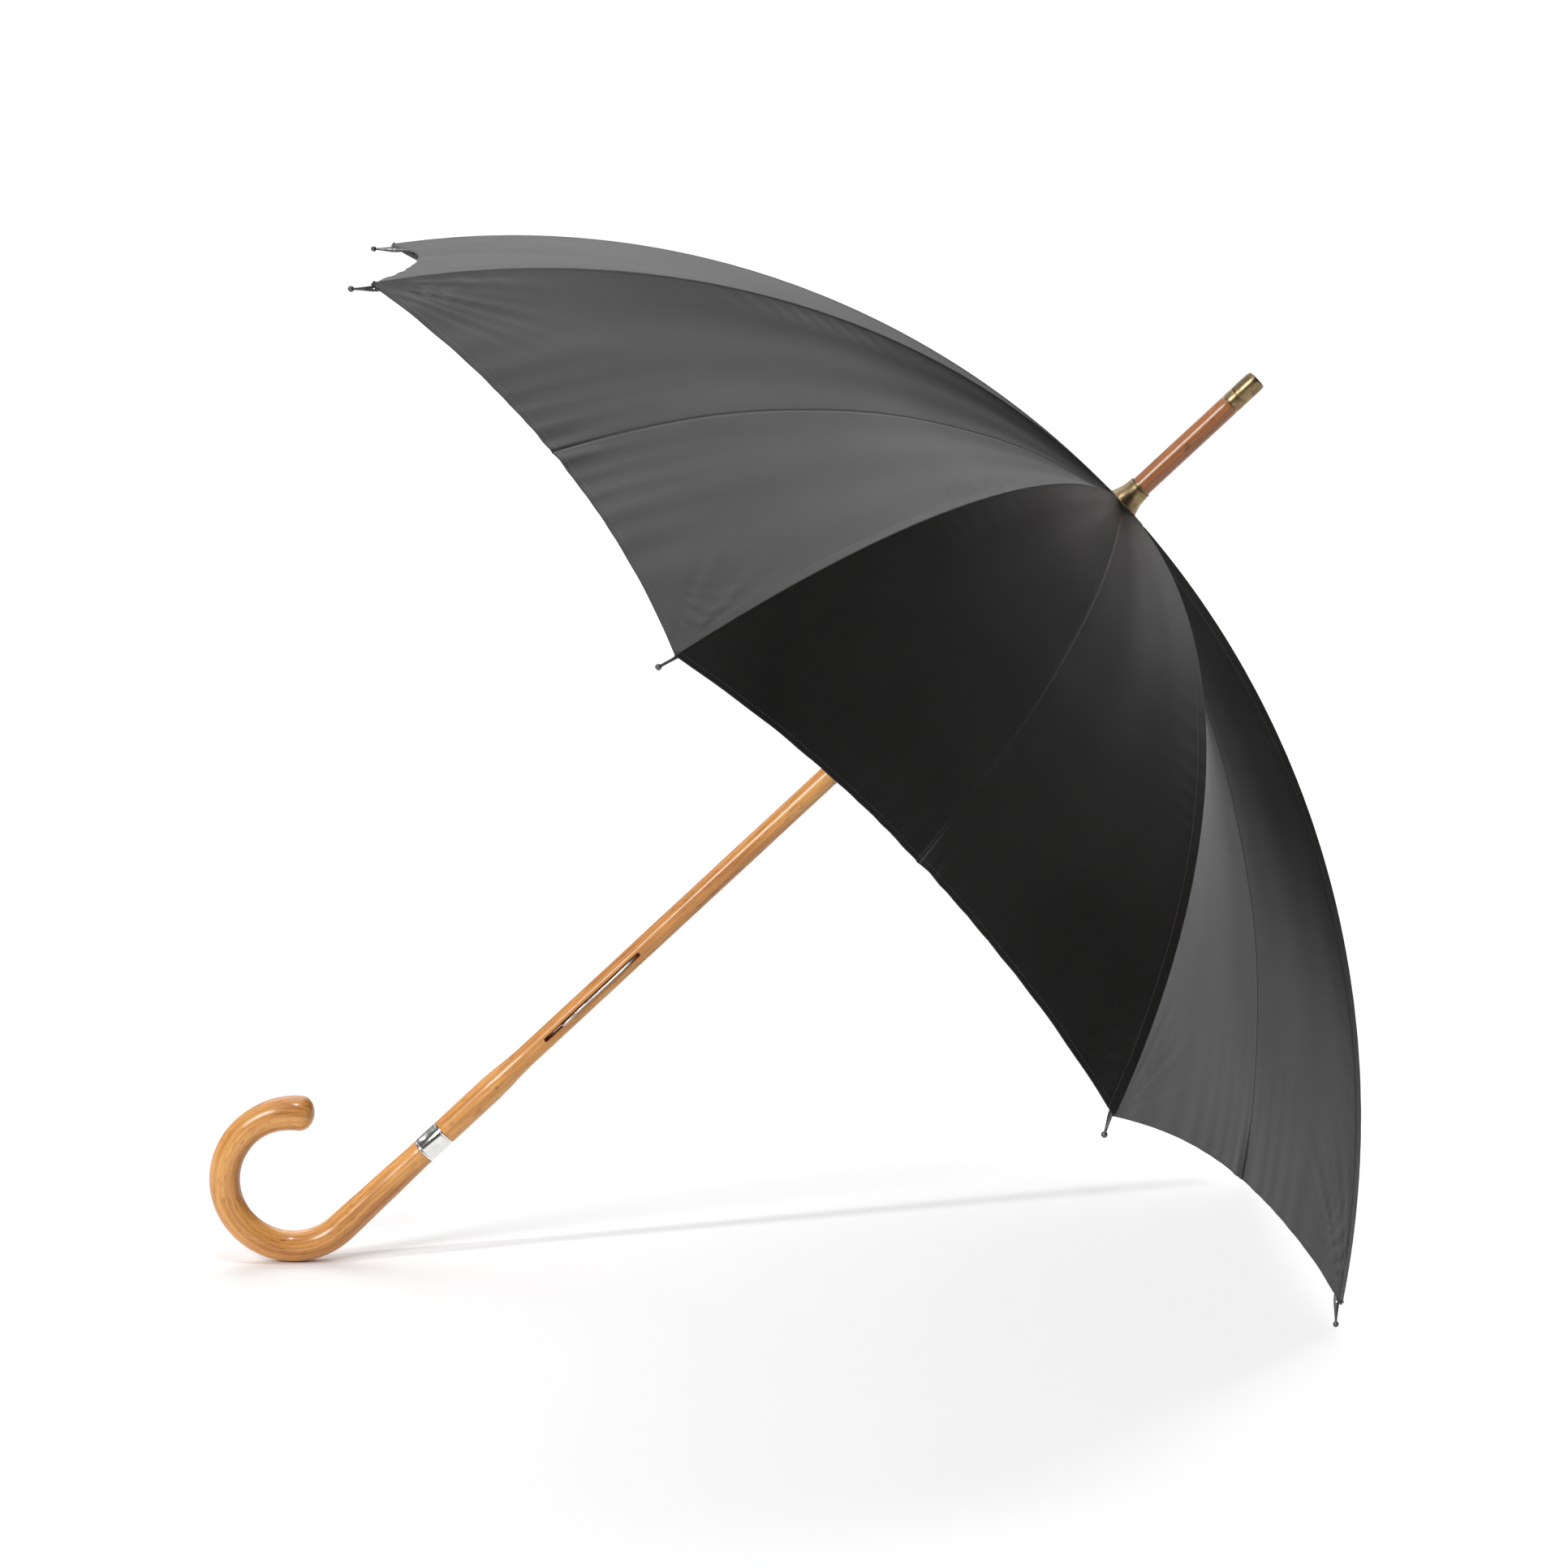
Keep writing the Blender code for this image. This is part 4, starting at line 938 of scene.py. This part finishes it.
def cloth_normal(s, c, gore):
    """The cloth's outward direction, sampled just off the fold over a rib."""
    step_s, step_c = 0.0006, 0.004
    c = np.clip(c, -1 + step_c, 1 - step_c)
    down = cloth_at(s + step_s, c, gore) - cloth_at(s - step_s, c, gore)
    over = cloth_at(s, c + step_c, gore) - cloth_at(s, c - step_c, gore)
    normal = np.cross(down, over)
    return normal / np.linalg.norm(normal, axis=-1)[..., None]


# Where the columns of a half gore lie: close together beside the rib and beside the middle
SHARES = np.array([
    0, 0.008, 0.016, 0.028, 0.042, 0.06, *np.linspace(0.085, 0.93, 26),
    0.95, 0.965, 0.976, 0.984, 0.99, 0.995, 1,
])


def cloth_piece(name, points, faces, weave, hem):
    """A piece of cloth with the places on it that its weave and its stitches are drawn by."""
    piece = piece_from(name, points, faces, CLOTH)
    store(piece, "weave_at", weave)
    store(piece, "hem_at", hem)
    return piece


def face_along(piece, normals):
    """Shade a piece by directions given in the umbrella's frame."""
    turned_normals = np.reshape(normals, (-1, 3)) @ TURN.T
    piece.data.normals_split_custom_set_from_vertices(turned_normals.tolist())


def cloth_sheet(number, side, first, last, rows, hemmed):
    """Half a gore beside one rib. side 1 is towards the next rib, -1 towards the one before."""
    gore = number if side > 0 else number - 1
    c = (SHARES - 1) if side > 0 else (1 - SHARES)
    tail = hem_at(SHARES) if hemmed else np.full_like(SHARES, last)
    t = np.linspace(0, 1, rows)[:, None]
    s = first + (tail[None, :] - first) * t
    grid_c = np.broadcast_to(c, s.shape)
    points, normals = cloth_at(s, grid_c, gore), cloth_normal(s, grid_c, gore)
    half_width = half_width_at(s)
    across = np.abs(1 - np.abs(grid_c)) * half_width
    from_hem = hem_at(SHARES)[None, :] - s
    along_hem = grid_c * half_width
    rows_of = [points, normals, across, s, from_hem, along_hem]
    if hemmed:
        rows_of = with_rolled_hem(rows_of, tail, c, gore)
    points, normals, across, s, from_hem, along_hem = rows_of
    faces = grid_faces(*points.shape[:2], flip=side > 0)
    name = f"gore_{number}{'a' if side > 0 else 'b'}_{'hem' if hemmed else 'top'}"
    weave = np.stack([along_hem, s, np.full_like(s, gore % RIBS)], -1)
    hem = np.stack([from_hem, along_hem, across], -1)
    sheet = cloth_piece(name, placed(points), faces, weave, hem)
    face_along(sheet, normals)
    return sheet


def with_rolled_hem(rows_of, tail, c, gore):
    """Add the narrow fold that turns under along the hem, as extra rows of the sheet."""
    points, normals, across, _, _, along_hem = rows_of
    edge, normal = points[-1], normals[-1]
    inner = cloth_at(tail - HEM_WIDTH, c, gore)
    back = inner - edge
    back /= np.linalg.norm(back, axis=1)[:, None]
    half = HEM_THICK / 2
    extra = []
    for turn in (30, 60, 90, 120, 150, 180):
        angle = radians(turn)
        out, lift = sin(angle), cos(angle)
        place = edge + normal * half * (lift - 1) - back * half * out
        extra.append((place, normal * lift - back * out, -half * out))
    under_edge = edge - normal * HEM_THICK
    extra.append((under_edge + back * HEM_WIDTH * 0.6, -normal, HEM_WIDTH * 0.6))
    extra.append((under_edge + back * HEM_WIDTH + normal * 0.0006, -normal, HEM_WIDTH))
    for place, direction, distance in extra:
        under = np.full_like(tail, distance)
        row = (place, direction, across[-1], tail - distance, under, along_hem[-1])
        rows_of = [np.concatenate([old, new[None]]) for old, new in zip(rows_of, row)]
    return rows_of


def fold_away(sheet):
    """Give a half gore a mesh of its own."""
    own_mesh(sheet)


def flat_size(first, last):
    """Width, length and area of the flat cut of half a gore between two distances from the top."""
    s = np.linspace(first, last, 60)
    widths = half_width_at(s)
    area = float(np.sum((widths[1:] + widths[:-1]) / 2) * (s[1] - s[0]))
    return float(widths.max()), last - first, area


def make_canopy():
    top = 0.0016
    for number, turn in RIB_ANGLES:
        for side, hemmed in product((1, -1), (False, True)):
            first, last = (BEND_AT, CLOTH_LENGTH) if hemmed else (top, BEND_AT)
            rows = 76 if hemmed else 46
            sheet = cloth_sheet(number, side, first, last, rows, hemmed)
            body = f"rib_{number}_end" if hemmed else f"rib_{number}"
            node = f"canopy_{number}_outer" if hemmed else f"canopy_{number}_inner"
            finished(sheet, body, "black_cloth", node)
            width, length, area = flat_size(first, last)
            if hemmed:
                area -= width * SCALLOP * 2 / 3
            fold_away(sheet)


def make_seams():
    """A felled seam over each rib, lapped to one side and sewn along its edge."""
    columns = np.array([-SEAM_LAP, -SEAM_LAP * 0.5, 0.0, 0.0012, 0.0026, 0.0042, 0.0056, SEAM_WIDTH])
    raised = np.array([0.00002, 0.00034, 0.00052, 0.00046, 0.00042, 0.00042, 0.0004, 0.00002])
    rows = np.linspace(0.0105, CLOTH_LENGTH - 0.0012, 150)
    for number, turn in RIB_ANGLES:
        points, normals, weave, hem = [], [], [], []
        for s in rows:
            half_width = half_width_at(s)
            for v, lift in zip(columns, raised):
                gore = number - 1 if v >= 0 else number
                share = min(0.8, abs(v) / half_width)
                c = (1 - share) if v >= 0 else (share - 1)
                normal = cloth_normal(s, c, gore)
                points.append(cloth_at(s, c, gore) + normal * lift)
                normals.append(normal)
                weave.append((0.3 - v, s, number * 2.7))
                hem.append((SEAM_WIDTH - v - 0.0009 + STITCH_ROW, s, 0))
        faces = grid_faces(len(rows), len(columns))
        seam = cloth_piece(f"seam_{number}", placed(points), faces, weave, hem)
        face_along(seam, normals)
        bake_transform(seam)


def make_crown_cover():
    """Eight wedges of cloth under the cap."""
    radii = np.linspace(0.0088, 0.0205, 12)
    shares = np.linspace(-1, 1, 13)
    faces = grid_faces(len(radii), len(shares), flip=True)
    for number, turn in RIB_ANGLES:
        points, weave, hem = [], [], []
        for radius in radii:
            slope = asin((radius - CLOTH_START) / CLOTH_BEND_RADIUS + sin(TOP_SLOPE))
            s = CLOTH_BEND_RADIUS * (slope - TOP_SLOPE)
            drop = max(0.0, s) ** 2 / (2 * CLOTH_BEND_RADIUS)
            lift = 0.00012 + 0.00045 * (1 - (radius - radii[0]) / (radii[-1] - radii[0]))
            gather = 0.00022 * smoothstep((radius - 0.0112) / 0.003)
            for share in shares:
                side = share * radius * sin(HALF_TURN) * cos(HALF_TURN)
                inward = abs(share) * radius * sin(HALF_TURN) ** 2
                fold = float(gather) * cos(share * 3 * pi)
                points.append((radius - inward, side, lift + fold - drop))
                weave.append((side, radius, number))
                hem.append((radii[-1] - radius, side, 0))
        wedge = cloth_piece(f"crown_cover_{number}", placed(points, turn), faces, weave, hem)
        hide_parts("crown_cloth")
        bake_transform(wedge)


def make_tie_band():
    """A strap of doubled cloth beside one seam, with a press stud near its free end."""
    end, gore = CLOTH_LENGTH - BAND_HEM_GAP, BAND_RIB
    rows, columns = np.linspace(end - BAND_LENGTH, end, 70), np.linspace(0, 1, 9)
    points, weave, hem = [], [], []
    for s in rows:
        half_width = half_width_at(s)
        for v in columns:
            across = BAND_FROM_SEAM + BAND_WIDTH * v
            c = across / half_width - 1
            edge = min(v, 1 - v) * BAND_WIDTH
            lift = 0.0004 + 0.0009 * float(smoothstep(edge / 0.0016))
            points.append(cloth_at(s, c, gore) + cloth_normal(s, c, gore) * lift)
            weave.append((across + 0.5, s, 20.0))
            hem.append((edge + STITCH_ROW - 0.0018, s, 0))
    faces = grid_faces(len(rows), len(columns), flip=True)
    band = cloth_piece("tie_strap", placed(points), faces, weave, hem)
    finished(band, f"rib_{BAND_RIB}_end", "black_cloth", "tie_band")
    s = end - 0.012
    c = (BAND_FROM_SEAM + BAND_WIDTH / 2) / half_width_at(s) - 1
    middle, normal = cloth_at(s, c, gore), cloth_normal(s, c, gore)
    profile = rounded_profile([
        (0.00001, 0.0026), (STUD_RADIUS * 0.4, 0.0026), (STUD_RADIUS * 0.45, 0.0014),
        (STUD_RADIUS * 0.8, 0.001), (STUD_RADIUS, 0.0012), (STUD_RADIUS, 0.0), (0.00001, 0.0),
    ], 0.0004)
    stud_points, stud_faces = turned(profile, 40)
    spin = np.array(Vector(normal).to_track_quat("Z", "Y").to_matrix())
    stud_points = stud_points @ spin.T + middle + normal * 0.0012
    stud = solid("press_stud", stud_points, stud_faces, NICKEL)
    finished(stud, f"rib_{BAND_RIB}_end", "nickel", "tie_stud")


def make_tip_threads():
    """The thread that ties the corner of the cloth to each rib's sewing eye."""
    _, (eye_x, eye_z) = rib_sections()
    corner_x, corner_z, _ = cloth_line(CLOTH_LENGTH - 0.0016)
    heading = atan2(corner_z - eye_z, corner_x - eye_x)
    angle = np.linspace(0, 2 * pi, 25)
    a = (np.hypot(eye_x - corner_x, eye_z - corner_z) / 2 + 0.0009) * np.cos(angle)
    b = 0.0013 * np.sin(angle)
    x = (eye_x + corner_x) / 2 + a * cos(heading) - b * sin(heading)
    z = (eye_z + corner_z) / 2 + 0.0002 + a * sin(heading) + b * cos(heading)
    loops = [
        tube(np.stack([x, np.full_like(x, y), z], 1), [0.00022] * 25, 8) for y in (-0.0006, 0.0, 0.0006)
    ]
    points, faces = joined(*loops)
    for number, turn in RIB_ANGLES:
        thread = solid(f"tip_thread_{number}", points, faces, THREAD, turn)
        finished(thread, f"rib_{number}_end", "black_cloth")


def dress_cad_nodes():
    """The small turned parts keep their CAD shape, with softened edges and worn metal."""
    looks = {
        "crown": NICKEL, "runner": NICKEL, "crown_wire": STEEL, "runner_wire": STEEL,
        "crown_pin": STEEL, "stop_pin": STEEL,
    }
    for name, look in looks.items():
        node = frame["nodes"][name]
        node.data.materials.clear()
        node.data.materials.append(look)
        bevel = node.modifiers.new("soft_edges", "BEVEL")
        bevel.width = 0.00012
        bevel.segments = 2
        bevel.limit_method = "ANGLE"
        bevel.angle_limit = radians(35)


# The studio


def make_floor():
    look = Look("pale_floor")
    at = look.node("ShaderNodeTexCoord").outputs["Object"]
    cloud = look.noise(at, 0.8, 3.0)
    look.set(Base_Color=look.ramp(cloud, [(0.3, (0.9, 0.9, 0.905)), (0.7, (0.93, 0.93, 0.93))]))
    look.set(Roughness=0.9, Specular_IOR_Level=0.2)
    corners = [(x * FLOOR_REACH, y * FLOOR_REACH, -0.0002) for x, y in product((-1, 1), repeat=2)]
    floor = piece_from("floor", corners, [(0, 2, 3, 1)], look.material)


def aimed(name, data, toward):
    """A light or camera that looks in a direction, upright."""
    made = bpy.data.objects.new(name, data)
    bpy.context.scene.collection.objects.link(made)
    made.rotation_mode = "QUATERNION"
    made.rotation_quaternion = Vector(toward).to_track_quat("-Z", "Y")
    return made


def sun_light(name, toward, strength, spread, blockers, crisp=True):
    """Even light from one side, shaded by the blockers alone. Only crisp light shows as glints."""
    data = bpy.data.lights.new(name, "SUN")
    data.energy = strength
    data.angle = radians(spread)
    data.cycles.use_multiple_importance_sampling = crisp
    lamp = aimed(name, data, toward)
    group = bpy.data.collections.new(name + "_shadows")
    for piece in blockers:
        group.objects.link(bpy.data.objects[piece])
    lamp.light_linking.blocker_collection = group


def make_world():
    """A white backdrop that glows along the horizon and, like a softbox, above the far side."""
    world = bpy.data.worlds.new("studio")
    bpy.context.scene.world = world
    world.use_nodes = True
    web = Nodes(world.node_tree)
    at = web.node("ShaderNodeTexCoord").outputs["Generated"]
    facing = web.node("ShaderNodeVectorMath", {0: at, 1: BACK_SOFTBOX}, operation="DOT_PRODUCT")
    strength = web.node("ShaderNodeLightPath").outputs["Is Camera Ray"]
    for source, glow in ((web.split(at)["Z"], HORIZON_GLOW), (facing.outputs["Value"], BACK_GLOW)):
        strength = web.math("MAXIMUM", strength, web.spread(source, *glow))
    background = web.tree.nodes["Background"]
    web.feed(background.inputs["Color"], (1, 1, 1, 1))
    web.feed(background.inputs["Strength"], strength)


def make_studio():
    """Even light from above for the floor, and soft lights that show the satin and the varnish."""
    make_world()
    sprung = STICK_PIECES + SPRING_PIECES
    sun_light("overhead_light", (0.4, -0.4, -1), 1.3, 80, sprung, crisp=False)
    sun_light("shaft_light", (0, 0.31, -1), 0.72, 2.6, STICK_PIECES)
    sun_light("varnish_light", (0.5, 0.66, -0.56), 1.9, 20, sprung)


def make_camera():
    data = bpy.data.cameras.new("camera")
    data.lens = LENS
    data.sensor_width = SENSOR
    data.clip_end = 1000.0
    camera = aimed("camera", data, LOOK)
    camera.location = EYE
    bpy.context.scene.camera = camera


def build():
    for step in (
        make_camera, make_floor, make_stick, make_collar, make_ferrule, make_cap, make_springs,
        make_ribs, make_stretchers, make_canopy, make_seams, make_crown_cover, make_tie_band,
        make_tip_threads, dress_cad_nodes, make_studio,
    ):
        step()
    bpy.context.scene.view_settings.view_transform = "Standard"


build()
